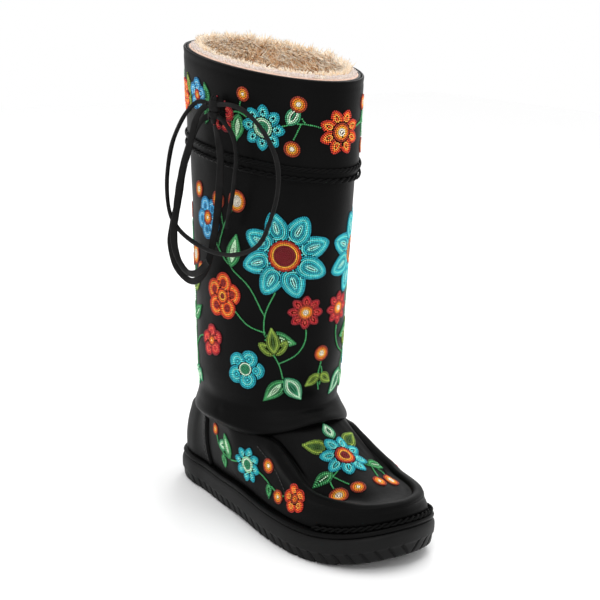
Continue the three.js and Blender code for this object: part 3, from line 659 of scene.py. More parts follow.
# Black full-grain leather: fine pebbles of about 0.9 mm, a soft wax sheen
grain = leather_material("black_grained_leather", "030303", "080808", 0.0009, 0.00014, 0.36, 0.52)
finish_piece(upper, grain, "leather", "upper")


# Heel counter: a stiffened leather panel round the heel, over the foot part, with a raised turned edge and
# two rows of black thread along its seam.
COUNTER_THICKNESS = 0.0016
COUNTER_FOOT = 0.138
COUNTER_TOP = 0.127
COUNTER_STATION = 9
NEAR_ROW = 0.05  # steps to the neighbours that give a normal
NEAR_TURN = 0.002
TURNED_EDGE = 0.0007
STITCH_ROWS = (0.955, 0.915)


def counter_face(across, rows, distance):
    """Points of the counter at shares across (-1 to 1) and station rows, off the foot part's face."""
    lines = []
    for row in rows:
        turn = across * (COUNTER_FOOT + (COUNTER_TOP - COUNTER_FOOT) * row / COUNTER_STATION)
        beside = [row - NEAR_ROW, row, row + NEAR_ROW]
        place = smooth_rows(foot_stations(turn), np.clip(beside, 0, STATIONS - 1))
        ahead, behind = (smooth_rows(foot_stations(turn + step), np.array([row]))[:, 0]
                         for step in (NEAR_TURN, -NEAR_TURN))
        normal = unit(np.cross(ahead - behind, place[:, 2] - place[:, 0]))
        lines.append(place[:, 1] + normal * np.reshape(distance, (-1, 1)))
    return np.stack(lines, 1)


counter_across = np.r_[np.linspace(-1, -0.94, 10), np.linspace(-0.93, 0.93, 120), np.linspace(0.94, 1, 10)]
counter_rows = np.linspace(0, COUNTER_STATION, 46)
turned_edge = TURNED_EDGE * np.exp(-((np.abs(counter_across) - 0.975) / 0.014) ** 2)
rounded = np.sqrt(1 - ((np.abs(counter_across) - 0.985) / 0.015).clip(0, 1) ** 2)
stand_off = WELT_GAP + COUNTER_THICKNESS * rounded + turned_edge * rounded
outer_skin = counter_face(counter_across, counter_rows, stand_off)
inner_skin = counter_face(counter_across, counter_rows[::-5], WELT_GAP)
heel_counter = shell_piece("heel_counter_panel", np.concatenate([outer_skin, inner_skin], 1), False)
finish_piece(heel_counter, grain, "leather", "heel_counter")


def even_line(points, pitch):
    """Points at an even pitch along a polyline."""
    points = np.asarray(points, float)
    return in_even_steps(points, max(int(run_along(points)[-1] / pitch), 1) + 1)


def tube(route, radii, sides, closed=False, out=None, up=None):
    """Points and faces of a tube round a route. With out and up the section keeps those two axes."""
    route = np.asarray(route, float)
    along = unit(np.roll(route, -1, 0) - np.roll(route, 1, 0) if closed else np.gradient(route, axis=0))
    if out is None:
        out = unit(np.cross(along, np.array([0.31, 0.22, 0.92])))
        up = np.cross(along, out)
    a = np.arange(sides) / sides * 2 * math.pi
    wide, high = (np.broadcast_to(np.asarray(r, float), (len(route),)) for r in radii)
    points = (route[:, None] + out[:, None] * (wide[:, None] * np.cos(a))[..., None]
              + up[:, None] * (high[:, None] * np.sin(a))[..., None])
    faces = [grid_faces(len(route), sides, closed, True)]
    if not closed:
        faces += [np.arange(sides)[None], (len(route) - 1) * sides + np.arange(sides)[::-1][None]]
    return points.reshape(-1, 3), faces


def join_parts(name, parts):
    """One mesh from several lists of points and faces."""
    points, faces, start = [], [], 0
    for part_points, part_faces in parts:
        points.append(part_points)
        faces += [face + start for face in part_faces]
        start += len(part_points)
    return make_piece(name, np.vstack(points), faces)


def stitch_row(route, normal, pitch, length, radius):
    """Short raised stitches along a route on a surface, each a rounded six-sided capsule."""
    both = even_line(np.c_[route, normal], pitch / 8)
    places, ups = both[:, :3], both[:, 3:]
    parts = []
    share = np.array([-0.5, -0.42, 0.0, 0.42, 0.5])
    swell = np.array([0.25, 0.8, 1.0, 0.8, 0.25])
    for n in range(4, len(places) - 4, 8):
        along, up = unit(places[n + 4] - places[n - 4]), unit(ups[n])
        line = places[n] + share[:, None] * length * along + up * radius * (0.4 * swell[:, None])
        across = np.tile(np.cross(along, up), (5, 1))
        parts.append(tube(line, (radius * swell, radius * swell), 6, out=across, up=np.tile(up, (5, 1))))
    return parts


# Waxed black thread: round, slightly shiny, 0.76 mm
thread, _ = new_material("waxed_black_thread", {"Base Color": linear("191919"), "Roughness": 0.42,
                                                "IOR": 1.5})

STITCH_PITCH = 0.0036
STITCH_LENGTH = 0.0027
STITCH_RADIUS = 0.00038
parts = []
for share in STITCH_ROWS:
    for side in (-1, 1):
        rows = np.linspace(0.25, 8.6, 60)
        line = counter_face(np.array([side * share, side * share * 0.99]), rows, WELT_GAP + COUNTER_THICKNESS)
        lift = counter_face(np.array([side * share]), rows, WELT_GAP + COUNTER_THICKNESS + 0.001)[0]
        parts += stitch_row(line[0], lift - line[0], STITCH_PITCH, STITCH_LENGTH, STITCH_RADIUS)
counter_thread = join_parts("counter_stitching", parts)
finish_piece(counter_thread, thread, "braid")


# Toe whip stitch: two black leather strands twisted into a rope, laid in the corner over the welt and sewn
# round the toe. Its strands cross about every 6 mm.
ROPE_HEIGHT = 0.0042
ROPE_REACH = 0.125
ROPE_STEP = 0.0125


def twisted_rope(route, out, depth, height, strands, step, sides, closed):
    """Strands wound round a level route, whose section spans depth along out and height upwards."""
    up = np.tile([0.0, 0.0, 1.0], (len(route), 1))
    run = run_along(route)
    if closed:
        whole = run[-1] + np.linalg.norm(route[0] - route[-1])
        step = whole / round(whole / step)
    parts = []
    for n in range(strands):
        turn = 2 * math.pi * (run / step + n / strands)
        aside, above = (0.24 * depth * np.cos(turn))[:, None], (0.25 * height * np.sin(turn))[:, None]
        wound = route + out * aside + up * above
        parts.append(tube(wound, (0.25 * depth, 0.27 * height), sides, closed, out=out, up=up))
    return parts


turn = np.linspace(0.5 - ROPE_REACH, 0.5 + ROPE_REACH, 240)
flat, inward = edge(turn, UPPER_INSET - WELT_GAP - ROPE_HEIGHT / 2)
rope_route = np.c_[flat, underside(flat[:, 1]) + WELT_TOP + WELT_GAP + ROPE_HEIGHT / 2]
rope_out = -np.c_[inward, np.zeros(len(turn))]
rope_parts = twisted_rope(rope_route, rope_out, 0.9 * ROPE_HEIGHT, ROPE_HEIGHT, 2, ROPE_STEP, 10, False)
whip = join_parts("toe_rope_stitch", rope_parts)
# Rolled leather cord: a finer grain than the upper's, and duller
cord_leather = leather_material("rolled_leather_cord", "030303", "080808", 0.0006, 0.00006, 0.44, 0.58)
finish_piece(whip, cord_leather, "braid", "toe_whipstitch")


# Shaft: the soft leather leg, a closed shell that swells over the foot part in a padded hem. Its oval
# sections widen and tip towards the back on the way up.
SHAFT_WALL = 0.0026
HEM_ARCH = 0.004
HEM_FOOT = 0.084
LEG_UNEVENNESS = 0.0006
LEG_TABLE = [  # height, centre, length, width, tilt, arch
    (0.08400, 0.03850, 0.14155, 0.11400, 0.0000, 1.0),
    (0.08796, 0.03850, 0.14900, 0.12000, 0.0000, 0.9),
    (0.09516, 0.04075, 0.13965, 0.11395, 0.0000, 0.5),
    (0.10200, 0.04300, 0.13200, 0.10900, 0.0000, 0.0),
    (0.12000, 0.04300, 0.13662, 0.11336, 0.0000, 0.0),
    (0.20800, 0.04605, 0.15598, 0.11086, 0.0450, 0.0),
    (0.30200, 0.04797, 0.17640, 0.10840, 0.0900, 0.0),
    (0.37950, 0.05010, 0.17940, 0.11800, 0.1170, 0.0),
]


def leg_at(angle, height, grow):
    """Points of the leg's face at angles from the back and section heights, moved outwards by grow."""
    angle, height, grow = np.broadcast_arrays(angle, height, grow)
    flat = height.ravel()
    sizes = [read_table(LEG_TABLE, k, flat).reshape(height.shape) for k in range(1, 6)]
    centre, length, width, tilt, arch = sizes
    place = leg_place(angle, -1, centre, length + 2 * grow, width + 2 * grow, 0)
    wave = np.cos(2 * angle) + 0.75 * np.cos(4 * angle) - 0.25
    place[..., 2] = height + tilt * (place[..., 1] - centre) + arch * HEM_ARCH * wave
    return place


LEG_COLUMNS = 320
leg_angle = np.arange(LEG_COLUMNS) / LEG_COLUMNS * 2 * math.pi
leg_heights = np.r_[np.linspace(HEM_FOOT, 0.104, 24), np.linspace(0.105, 0.135, 22)[1:],
                    np.linspace(0.135, 0.300, 56)[1:], np.linspace(0.300, 0.3795, 8)[1:]]


def leg_grid(heights, grow):
    """Columns of points round the leg, with a row for each height."""
    return leg_at(leg_angle[:, None], np.array(heights), np.array(grow))


leg_face = leg_grid(leg_heights, 0.0)
LEG_CREASES = [  # route in mm, width and depth in mm
    ([(-52, 66, 103), (-55, 44, 102), (-53, 22, 103), (-44, -2, 106)], 4.6, 0.4),
    ([(-38, -8, 108), (-24, -18, 111), (-6, -23, 111), (14, -21, 109)], 5.0, 0.5),
    ([(-54, 50, 116), (-55, 30, 113), (-49, 10, 116), (-38, -6, 121)], 6.0, 0.4),
    ([(-50, 18, 132), (-42, 0, 129), (-28, -14, 132)], 7.5, 0.4),
    ([(-57, 38, 95), (-58, 30, 88)], 3.4, 0.3),
    ([(-56, 12, 96), (-55, 4, 89)], 3.6, 0.35),
    ([(-44, -20, 98), (-43, -24, 92)], 3.4, 0.3),
    ([(-30, 98, 104), (-14, 106, 103), (6, 108, 103), (24, 102, 104)], 4.5, 0.7),
    ([(-46, 82, 112), (-36, 94, 110), (-20, 103, 113)], 5.5, 0.5),
    ([(53, 60, 102), (55, 40, 101), (52, 18, 102), (42, -4, 106)], 4.6, 0.5),
    ([(54, 48, 115), (54, 28, 113), (46, 4, 117)], 5.5, 0.5),
    ([(40, -8, 126), (26, -18, 130), (8, -24, 130)], 6.5, 0.4),
    ([(-55, 70, 168), (-56, 50, 160), (-54, 30, 158)], 10.0, 0.5),
    ([(-50, 86, 232), (-56, 60, 226), (-55, 36, 230)], 11.0, 0.5),
    ([(-44, -8, 262), (-34, -22, 258), (-16, -32, 262)], 10.0, 0.45),
    ([(-40, -4, 176), (-28, -18, 172), (-8, -27, 176)], 9.0, 0.4),
]
firm = kept_between(leg_heights, 0.086, 0.094, 0.285, 0.296)
leg_skin = creased_skin(leg_face, LEG_CREASES, LEG_UNEVENNESS, [(16, 1), (38, 0.5)], firm)
tuck = [(0.0828, -0.0010), (0.0822, -0.0026), (0.0826, -0.0046), (0.0842, -0.0062), (0.0870, -0.0072)]
under = np.stack([leg_at(leg_angle, HEM_FOOT, grow) + np.array([0, 0, height - HEM_FOOT])
                  for height, grow in tuck], 1)
leg_inner = leg_grid(np.r_[0.3795, np.linspace(0.370, 0.106, 12)], -SHAFT_WALL)
inside_hem = leg_grid([0.098, 0.090], [-0.0045, -0.0072])
shaft = shell_piece("shaft_leather", np.concatenate([under[:, ::-1], leg_skin, leg_inner, inside_hem], 1))
finish_piece(shaft, grain, "leather", "shaft")


# Cuff: a band of the leg's leather over the top of the shaft, turned over the rim in a soft roll. The stems
# of the lace's knot run through it on the outer side.
CUFF_GAP = 0.00045
CUFF_THICKNESS = 0.0022
CUFF_FOOT = 0.29849
RIM_HEIGHT = 0.3795
CUFF_UNEVENNESS = 0.0005
cuff_out = CUFF_GAP + CUFF_THICKNESS
roll = np.radians(np.linspace(0, 180, 13))
roll_grow = CUFF_GAP + CUFF_THICKNESS / 2 + (CUFF_THICKNESS / 2) * np.cos(roll)
roll_height = RIM_HEIGHT - 0.0011 + 0.0013 * np.sin(roll)
cuff_heights = np.r_[CUFF_FOOT, CUFF_FOOT + 0.0003, CUFF_FOOT + 0.0012, np.linspace(0.301, 0.376, 46)]
cuff_grow = np.r_[cuff_out - 0.0008, cuff_out - 0.0002, np.full(47, cuff_out)]
cuff_rim = 0.00035 * np.exp(-((cuff_heights - 0.3745) / 0.0016) ** 2)
cuff_face = leg_grid(cuff_heights, cuff_grow - cuff_rim)
CUFF_CREASES = [  # route in mm, width and depth in mm
    ([(-56, 60, 330), (-58, 36, 322), (-55, 12, 326)], 9.0, 0.5),
    ([(-40, -18, 352), (-28, -30, 346), (-8, -38, 350)], 8.0, 0.4),
    ([(-50, 4, 366), (-42, -14, 362), (-26, -30, 364)], 6.0, 0.35),
    ([(-59, 44, 348), (-59, 38, 342), (-59, 30, 338)], 5.0, 0.6),
]
firm = kept_between(cuff_heights, 0.300, 0.312, 0.368, 0.375)
cuff_skin = creased_skin(cuff_face, CUFF_CREASES, CUFF_UNEVENNESS, [(20, 1)], firm)
cuff_roll = leg_grid(roll_height, roll_grow)
cuff_inner = leg_grid([0.350, 0.320, CUFF_FOOT], CUFF_GAP)
cuff = shell_piece("cuff_leather", np.concatenate([cuff_skin, cuff_roll, cuff_inner], 1))
finish_piece(cuff, grain, "leather", "cuff")


# Cuff braids: a flat three-strand cord above and a bold two-strand rope below, round the foot of the cuff.
# They are twisted from rolled leather cord and closed to rings.
BRAID_HEIGHT = 0.0043
BRAID_DEPTH = 0.0022
BRAID_SPACING = 0.0078
LOWER_BRAID = CUFF_FOOT + BRAID_HEIGHT / 2 + 0.0004
BRAID_STEPS = 560


def leg_frame(angle, height, grow):
    """Places on the leg with the direction out of it."""
    place = leg_at(angle, height, grow)
    out = leg_at(angle, height, grow + 0.01) - place
    out[:, 2] = 0
    return place, unit(out)


braid_angle = np.arange(BRAID_STEPS) / BRAID_STEPS * 2 * math.pi
for name, height, strands, step, node in (
        ("braid_rope_lower", LOWER_BRAID, 2, 0.0138, "cuff_braid_lower"),
        ("braid_cord_upper", LOWER_BRAID + BRAID_SPACING, 3, 0.0165, "cuff_braid_upper")):
    route, out = leg_frame(braid_angle, height, cuff_out + 0.0003 + BRAID_DEPTH / 2)
    rope = join_parts(name, twisted_rope(route, out, BRAID_DEPTH, BRAID_HEIGHT, strands, step, 6, True))
    finish_piece(rope, cord_leather, "braid", node)


# Fleece lining: a shearling sleeve inside the leg. Its leather shows as a pinkish cut edge inside the cuff's
# roll, and dense tufts of cream wool with golden roots cover its inner face and stand over the rim.
FLEECE_OUT = -0.0033
FLEECE_FOOT = 0.114
skin_rows = [(FLEECE_FOOT, FLEECE_OUT), (0.20, FLEECE_OUT), (0.30, FLEECE_OUT), (0.3775, FLEECE_OUT),
             (0.3795, FLEECE_OUT + 0.0012), (0.3801, FLEECE_OUT + 0.0006), (0.3801, FLEECE_OUT - 0.0012),
             (0.3790, FLEECE_OUT - 0.0020), (0.30, FLEECE_OUT - 0.0020), (FLEECE_FOOT, FLEECE_OUT - 0.0020)]
hide = shell_piece("shearling_hide_edge", leg_grid(*np.array(skin_rows).T))
# Cut hide edge: pinkish beige, matt like suede
hide_edge, tree = new_material("cut_shearling_hide", {"Roughness": 0.85})
colour_steps(tree, noise_over(tree, 400, 3), [(0.3, "d6ae98"), (0.7, "e8cdbd")])
finish_piece(hide, hide_edge, "shearling")

WOOL_ROWS = 48
WOOL_LUMPS = 0.0010
wool_rows = [(FLEECE_FOOT, -0.0055), (FLEECE_FOOT, -0.0098), (0.16, -0.0100), (0.22, -0.0100),
             (0.28, -0.0100), (0.34, -0.0100), (0.370, -0.0100), (0.3765, -0.0098), (0.3800, -0.0086),
             (0.3808, -0.0070), (0.3796, -0.0056), (0.3700, -0.0054), (0.30, -0.0054)]
place = np.linspace(0, len(wool_rows) - 1, WOOL_ROWS)
wool_rows = [np.interp(place, np.arange(len(wool_rows)), column) for column in np.array(wool_rows).T]
wool_grid = leg_grid(*wool_rows)
lumps = soft_lumps(wool_grid, (120, 1), (300, 0.6))
wool_grid = wool_grid + grid_normals(wool_grid) * (WOOL_LUMPS * lumps)[..., None]
wool_base = shell_piece("shearling_wool_base", wool_grid)
# Wool: golden at the skin and cream towards the tips, rough, with a little light passing through
wool, tree = new_material("shearling_wool", {"Roughness": 0.9, "Subsurface Weight": 0.08,
                                             "Subsurface Radius": (0.004, 0.0025, 0.0015),
                                             "Subsurface Scale": 0.4})
tint = add_node(tree, "ShaderNodeAttribute", settings={"attribute_name": "tip"})
mixed = add_node(tree, "ShaderNodeMath", settings={"operation": "MULTIPLY_ADD"},
                 links={0: noise_over(tree, 70, 5), 2: tint.outputs["Fac"]}, values={1: 0.5})
colour_steps(tree, mixed.outputs[0], [(0.30, "eeb883"), (0.55, "f8d3a8"), (0.78, "fde6cb"), (0.93, "fff4e4"),
                                      (1.02, "f7e7de")])
relief(tree, noise_over(tree, 420, 5), 0.8, 0.0016)


def give_points(piece, name, kind, field, values):
    """Stores a value for each point of a piece, for its material to read."""
    layer = piece.data.attributes.new(name, kind, "POINT")
    layer.data.foreach_set(field, values.ravel().astype(np.float32))


give_points(wool_base, "tip", "FLOAT", "value", 0.26 + 0.16 * lumps)
finish_piece(wool_base, wool, "shearling", "fleece_lining")

chance = np.random.default_rng(7)


def wool_tufts(name, places, lengths, leans, sizes, tint_low, tint_high):
    """Curled three-sided tufts in one mesh: each a bent, tapering lock rooted at its place."""
    count = len(places)
    steps = np.array([0.0, 0.55, 1.0])
    leans = unit(leans)
    curl = chance.normal(0, 1, (count, 3))
    curl = unit(curl - leans * (curl * leans).sum(1, keepdims=True))
    other = np.cross(leans, curl)
    line = (places[:, None] + leans[:, None] * (lengths[:, None] * steps)[..., None]
            + curl[:, None] * (lengths[:, None] * 0.65 * steps ** 2)[..., None])
    a = np.arange(3) / 3 * 2 * math.pi
    ring = curl[:, None] * np.cos(a)[:, None] + other[:, None] * np.sin(a)[:, None]
    thickness = sizes[:, None] * np.array([1.0, 0.8])
    body = line[:, :2, None] + ring[:, None] * thickness[..., None, None]
    points = np.concatenate([body.reshape(count, 6, 3), line[:, 2:3]], 1)
    one = []
    for c in range(3):
        after = (c + 1) % 3
        one += [(c, after, 3 + after), (c, 3 + after, 3 + c), (3 + c, 3 + after, 6)]
    faces = (np.arange(count)[:, None, None] * 7 + np.array(one)).reshape(-1, 3)
    piece = make_piece(name, points.reshape(-1, 3), faces)
    rise = np.array([0, 0, 0, 0.6, 0.6, 0.6, 1.0])
    tips = tint_low + (tint_high - tint_low) * rise + chance.normal(0, 0.05, (count, 1))
    give_points(piece, "tip", "FLOAT", "value", tips)
    finish_piece(piece, wool, "shearling")


RIM_TUFTS = 9500
INNER_TUFTS = 15000

# Short clipped pile on the rim, nearly white
count = RIM_TUFTS
share = chance.uniform(0, 1, count)
place, out = leg_frame(chance.uniform(0, 2 * math.pi, count), 0.3786 + 0.0012 * np.sin(np.pi * share),
                       -0.0052 - 0.0046 * share)
lean = np.array([0, 0, 1.0]) + out * (0.35 - 1.2 * share[:, None]) + chance.normal(0, 0.22, (count, 3))
wool_tufts("wool_rim_tufts", place, chance.uniform(0.0020, 0.0036, count), lean,
           chance.uniform(0.0005, 0.0009, count), 0.62, 0.86)

# Long loose wool inside: it stands in soft clumps that lean together, higher on the side away from the tie
count = INNER_TUFTS
angle = chance.uniform(0, 2 * math.pi, count)
depth = chance.uniform(0, 1, count) ** 2.4
place, out = leg_frame(angle, 0.3796 - 0.150 * depth, np.full(count, -0.0094))
clump = np.array([(soft_noise(Vector(p) * 75), soft_noise(Vector(p) * 75 + Vector((9, 2, 5))),
                   soft_noise(Vector(p) * 190)) for p in place])
side = np.cross(out, np.array([0, 0, 1.0]))
lean = np.array([0, 0, 1.15]) - out * (0.55 + 0.5 * clump[:, 1:2]) + side * (1.3 * clump[:, :1])
lean = lean + chance.normal(0, 0.30, (count, 3))
tall = 1 - 0.30 * np.sin(angle - 0.4)
length = chance.uniform(0.0048, 0.0078, count) * tall * (1 + 0.35 * clump[:, 2])
wool_tufts("wool_inner_tufts", place, length, lean, chance.uniform(0.0009, 0.0015, count), 0.27, 0.60)


# Beadwork: opaque glass seed beads, couched in close rows that follow each shape's outline inwards. The
# garlands are a design of this part's own: rosettes, round blossoms, berries, leaves and curving stems.
# Each shape is placed in mm: round the leg from the front and up it, or on the foot's side or vamp.
BEAD_PITCH = 1.5
BEAD_RADIUS = 0.00071
TURQUOISE = ["159aae", "2ccfd8", "86ece4", "2ccfd8", "159aae", "86ece4", "c6f6ea"]
SEA_BLUE = ["1c74a6", "46b2e4", "9fdcf4", "46b2e4", "1c74a6"]
CORAL = ["c22c1e", "ff6422", "ffb04a", "ff6422", "9c2022"]
RED = ["961a28", "e23238", "fa6c58", "e23238", "961a28"]
AMBER = ["9c3420", "f67a22", "ffbe38", "f6efe0", "f6efe0"]
HEART = ["ae2220", "fa7628", "ffc244", "8a1a24", "8a1a24"]
LEAF = ["237c44", "5abc72", "237c44", "cdf0cc"]
OLIVE = ["6a8830", "a6c04c", "6a8830", "3f6628"]
MINT = ["329466", "a2e0b4", "e4f8e0", "329466"]
STEM = "3a9c58"


def petal_width(kind, share):
    swell = {"petal": (0.72, 0.55), "leaf": (0.80, 1.05)}[kind]
    return np.sin(np.pi * np.clip(share, 0, 1) ** swell[0]) ** swell[1]


def shape_rows(shape):
    """Bead places of one shape in its own plane, with a colour for each."""
    kind, x, y, angle, length, half, rows = shape
    if kind == "line":
        spots = even_line(length, BEAD_PITCH)
        return spots, np.array(rows * len(spots))
    spots, colours = [], []
    for k in range(40):
        inset = BEAD_PITCH * (k + 0.5)
        wide = half - inset
        if kind == "disc":
            if wide < -0.35 * BEAD_PITCH:
                break
            count = max(int(round(2 * math.pi * wide / BEAD_PITCH)), 3)
            around = np.arange(count) / count * 2 * math.pi + k
            row = np.array([[x, y]])
            if wide >= 0.3 * BEAD_PITCH:
                row = np.c_[x + wide * np.cos(around), y + wide * np.sin(around)]
        else:
            if wide < -0.1 * BEAD_PITCH or length < 2 * inset:
                break
            share = np.linspace(0, 1, 60)
            along = inset + (length - 2 * inset) * share
            flat = np.c_[along, np.zeros(60)]
            if wide >= 0.55 * BEAD_PITCH:
                edge_wide = wide * petal_width(kind, share)
                flat = np.r_[np.c_[along, edge_wide], np.c_[along, -edge_wide][::-1]]
            turned = np.array([[math.cos(angle), math.sin(angle)], [-math.sin(angle), math.cos(angle)]])
            row = even_line(flat, BEAD_PITCH)[:-1] @ turned + np.array([x, y])
        spots.append(row)
        colours += [rows[min(k, len(rows) - 1)]] * len(row)
        if kind == "disc" and wide < 0.3 * BEAD_PITCH:
            break
    return np.vstack(spots), np.array(colours)


def covered(shape, spots):
    kind, x, y, angle, length, half, _ = shape
    if kind == "line":
        return np.zeros(len(spots), bool)
    away = spots - np.array([x, y])
    if kind == "disc":
        return np.hypot(away[:, 0], away[:, 1]) < half + 0.25 * BEAD_PITCH
    along = away @ np.array([math.cos(angle), math.sin(angle)])
    across = away @ np.array([-math.sin(angle), math.cos(angle)])
    inside = (along > 0) & (along < length)
    return inside & (np.abs(across) < half * petal_width(kind, along / length) + 0.25 * BEAD_PITCH)


def lay_out(shapes):
    """Beads of all shapes, where a later shape covers an earlier one."""
    spots, colours = [], []
    for n, shape in enumerate(shapes):
        places, tints = shape_rows(shape)
        keep = np.ones(len(places), bool)
        for later in shapes[n + 1:]:
            keep &= ~covered(later, places)
        spots.append(places[keep])
        colours.append(tints[keep])
    return np.vstack(spots), np.concatenate(colours)


def disc(x, y, radius, rows):
    return [("disc", x, y, 0, 0, radius, rows)]


def petal(x, y, degrees, length, half, rows):
    return [("petal", x, y, math.radians(degrees), length, half, rows)]


def leaf(x, y, degrees, length, half, rows):
    return [("leaf", x, y, math.radians(degrees), length, half, rows)]


def rosette(x, y, count, inner, length, half, rows, heart, turn=0):
    shapes = []
    for n in range(count):
        a = math.radians(turn + 360 * n / count)
        shapes += petal(x + inner * math.cos(a), y + inner * math.sin(a), math.degrees(a), length, half, rows)
    return shapes + disc(x, y, inner + 2.4, heart)


def round_blossom(x, y, radius, rows, heart, turn=0):
    shapes = []
    for n in range(5):
        a = math.radians(turn + 72 * n)
        shapes += disc(x + 0.56 * radius * math.cos(a), y + 0.56 * radius * math.sin(a), 0.46 * radius, rows)
    return shapes + disc(x, y, 0.34 * radius, heart)


def lobed_leaf(x, y, degrees, length, rows):
    return (petal(x, y, degrees - 48, 0.68 * length, 0.20 * length, rows)
            + petal(x, y, degrees + 48, 0.68 * length, 0.20 * length, rows)
            + leaf(x, y, degrees, length, 0.24 * length, rows))


def leaf_pair(x, y, degrees, length, rows, spread=70):
    return (leaf(x, y, degrees - spread, length, 0.26 * length, rows)
            + leaf(x, y, degrees + spread, length, 0.26 * length, rows))


def open_curve(points, steps):
    """A smooth curve through points given in mm, in steps of even length."""
    points = np.array(points, float)
    points = np.vstack([2 * points[0] - points[1], points, 2 * points[-1] - points[-2]])
    dense = [smooth_span(points[i - 1:i + 3], 40) for i in range(1, len(points) - 2)]
    return in_even_steps(np.vstack(dense + [points[-2][None]]), steps + 1)


def stem(*points):
    return [("line", 0, 0, 0, open_curve(points, 60), 0, [STEM])]


def berry(x, y, radius=6.0):
    return disc(x, y, radius, AMBER)


shaft_shapes = (
    stem((-30, 124), (-36, 142), (-48, 162), (-50, 182), (-42, 206))
    + stem((-49, 168), (-64, 172), (-78, 182))
    + stem((-50, 182), (-66, 205), (-84, 216), (-102, 229), (-114, 242))
    + stem((-36, 142), (-22, 151), (-16, 163), (-16, 178))
    + stem((-103, 230), (-97, 252), (-88, 268)) + stem((-98, 248), (-104, 262))
    + stem((-128, 118), (-140, 148), (-148, 180), (-144, 208)) + stem((-136, 138), (-122, 150), (-112, 150))
    + leaf(-49, 165, -10, 27, 7.4, LEAF) + leaf(-86, 217, 84, 30, 7.8, LEAF)
    + leaf(-30, 128, 232, 25, 7.0, LEAF) + leaf(-30, 130, 308, 26, 7.2, MINT)
    + lobed_leaf(-40, 150, 100, 24, OLIVE)
    + rosette(-38, 236, 8, 11.0, 27, 10.2, TURQUOISE, HEART, 22.5)
    + round_blossom(-93, 191, 20, CORAL, HEART, 18)
    + round_blossom(-121, 251, 18, SEA_BLUE, AMBER, 54)
    + round_blossom(-64, 134, 17, TURQUOISE, MINT[2:], 0)
    + rosette(-17, 188, 8, 4.6, 10.5, 4.4, RED, AMBER, 0)
    + berry(-86, 273, 9.4) + berry(-108, 269, 8.0) + berry(-141, 270, 7.0)
    + leaf_pair(-143, 160, 98, 23, LEAF, 58) + leaf_pair(-148, 184, 90, 20, OLIVE, 58)
    + berry(-144, 214, 8.8) + berry(-130, 206, 5.6) + berry(-158, 206, 5.6)
    + round_blossom(-104, 150, 14, RED, AMBER, 30)
    + lobed_leaf(-126, 120, 250, 20, MINT)
    + leaf_pair(-176, 236, 270, 24, MINT, 50) + berry(-176, 244, 7.0)
    + stem((-176, 238), (-168, 205), (-176, 172))
    + round_blossom(-180, 164, 15, TURQUOISE, HEART, 0) + leaf(-170, 206, 215, 22, 6.4, LEAF)
    + disc(0, 150, 7.0, AMBER) + stem((0, 142), (-2, 130), (0, 118)) + leaf(0, 132, 218, 17, 4.8, OLIVE)
)
cuff_shapes = (
    stem((0, 340), (-30, 346), (-62, 338), (-84, 346), (-104, 340), (-138, 347), (-170, 341), (-206, 346),
         (-230, 342))
    + stem((-28, 346), (-36, 356)) + stem((-32, 345), (-38, 330)) + stem((-84, 346), (-82, 356))
    + leaf(-42, 343, 62, 20, 5.8, MINT) + leaf(-84, 345, 262, 24, 6.8, LEAF)
    + leaf_pair(-120, 344, 180, 18, LEAF, 72) + leaf_pair(-153, 345, 180, 18, OLIVE, 66)
    + leaf_pair(-188, 344, 180, 18, LEAF, 66)
    + rosette(0, 341, 8, 5.4, 13.5, 5.6, CORAL, AMBER, 22.5)
    + berry(-34, 361, 6.6) + berry(-38, 325, 6.6)
    + rosette(-62, 338, 8, 5.6, 13, 5.6, TURQUOISE, MINT[1:], 0)
    + round_blossom(-104, 340, 15, RED, AMBER, 90) + berry(-80, 361, 6.0)
    + round_blossom(-138, 348, 14, SEA_BLUE, HEART, 18) + round_blossom(-171, 342, 14, CORAL, HEART, 54)
    + rosette(-206, 343, 8, 4.6, 10, 4.4, TURQUOISE, MINT[1:], 0) + berry(-230, 341, 6.6)
)
side_shapes = (
    stem((52, 66), (44, 54), (26, 50), (4, 54), (-18, 50), (-40, 43), (-62, 44))
    + leaf(46, 57, 168, 17, 5.4, MINT) + leaf(38, 51, 282, 15, 4.8, LEAF)
    + leaf(26, 50, 66, 23, 6.8, LEAF) + leaf(-28, 47, 262, 13, 4.4, LEAF)
    + rosette(2, 53, 8, 4.8, 11, 4.7, TURQUOISE, MINT[1:], 10)
    + berry(-24, 60, 6.4) + berry(-42, 40, 6.0) + round_blossom(-62, 45, 12, CORAL, AMBER, 0)
    + berry(54, 68, 5.4)
)
vamp_shapes = (
    stem((-12, 2), (-24, -4), (-27, -16)) + stem((12, 2), (24, -4), (27, -16))
    + stem((-20, -2), (-14, -18)) + stem((20, -2), (14, -18))
    + leaf(-8, 22, 142, 24, 7.0, OLIVE) + leaf(8, 22, 38, 24, 7.0, OLIVE)
    + leaf(-18, 2, 186, 19, 6.0, LEAF) + leaf(18, 2, -6, 19, 6.0, LEAF)
    + leaf(0, 30, 90, 17, 6.0, MINT)
    + rosette(0, 12, 8, 6.2, 15, 5.9, TURQUOISE, HEART, 22.5)
    + berry(-27, -20, 7.4) + berry(27, -20, 7.4) + berry(-11, -22, 6.2) + berry(11, -22, 6.2)
)


def skin_tree(grid):
    points = (grid.reshape(-1, 3) + PLACE).tolist()
    return BVHTree.FromPolygons(points, grid_faces(grid.shape[0], grid.shape[1], True, False).tolist())


def settle(tree, starts, directions, colours=()):
    """Where rays meet a skin, with its normal turned back along the ray and the colours of the beads."""
    places, normals, met = [], [], []
    for start, direction in zip(starts, directions):
        place, normal, _, _ = tree.ray_cast(Vector(start), Vector(direction))
        met.append(place is not None)
        if place is not None:
            places.append(place[:])
            normals.append((normal if normal.dot(Vector(direction)) < 0 else -normal)[:])
    return np.array(places), np.array(normals), colours[met] if len(colours) else colours


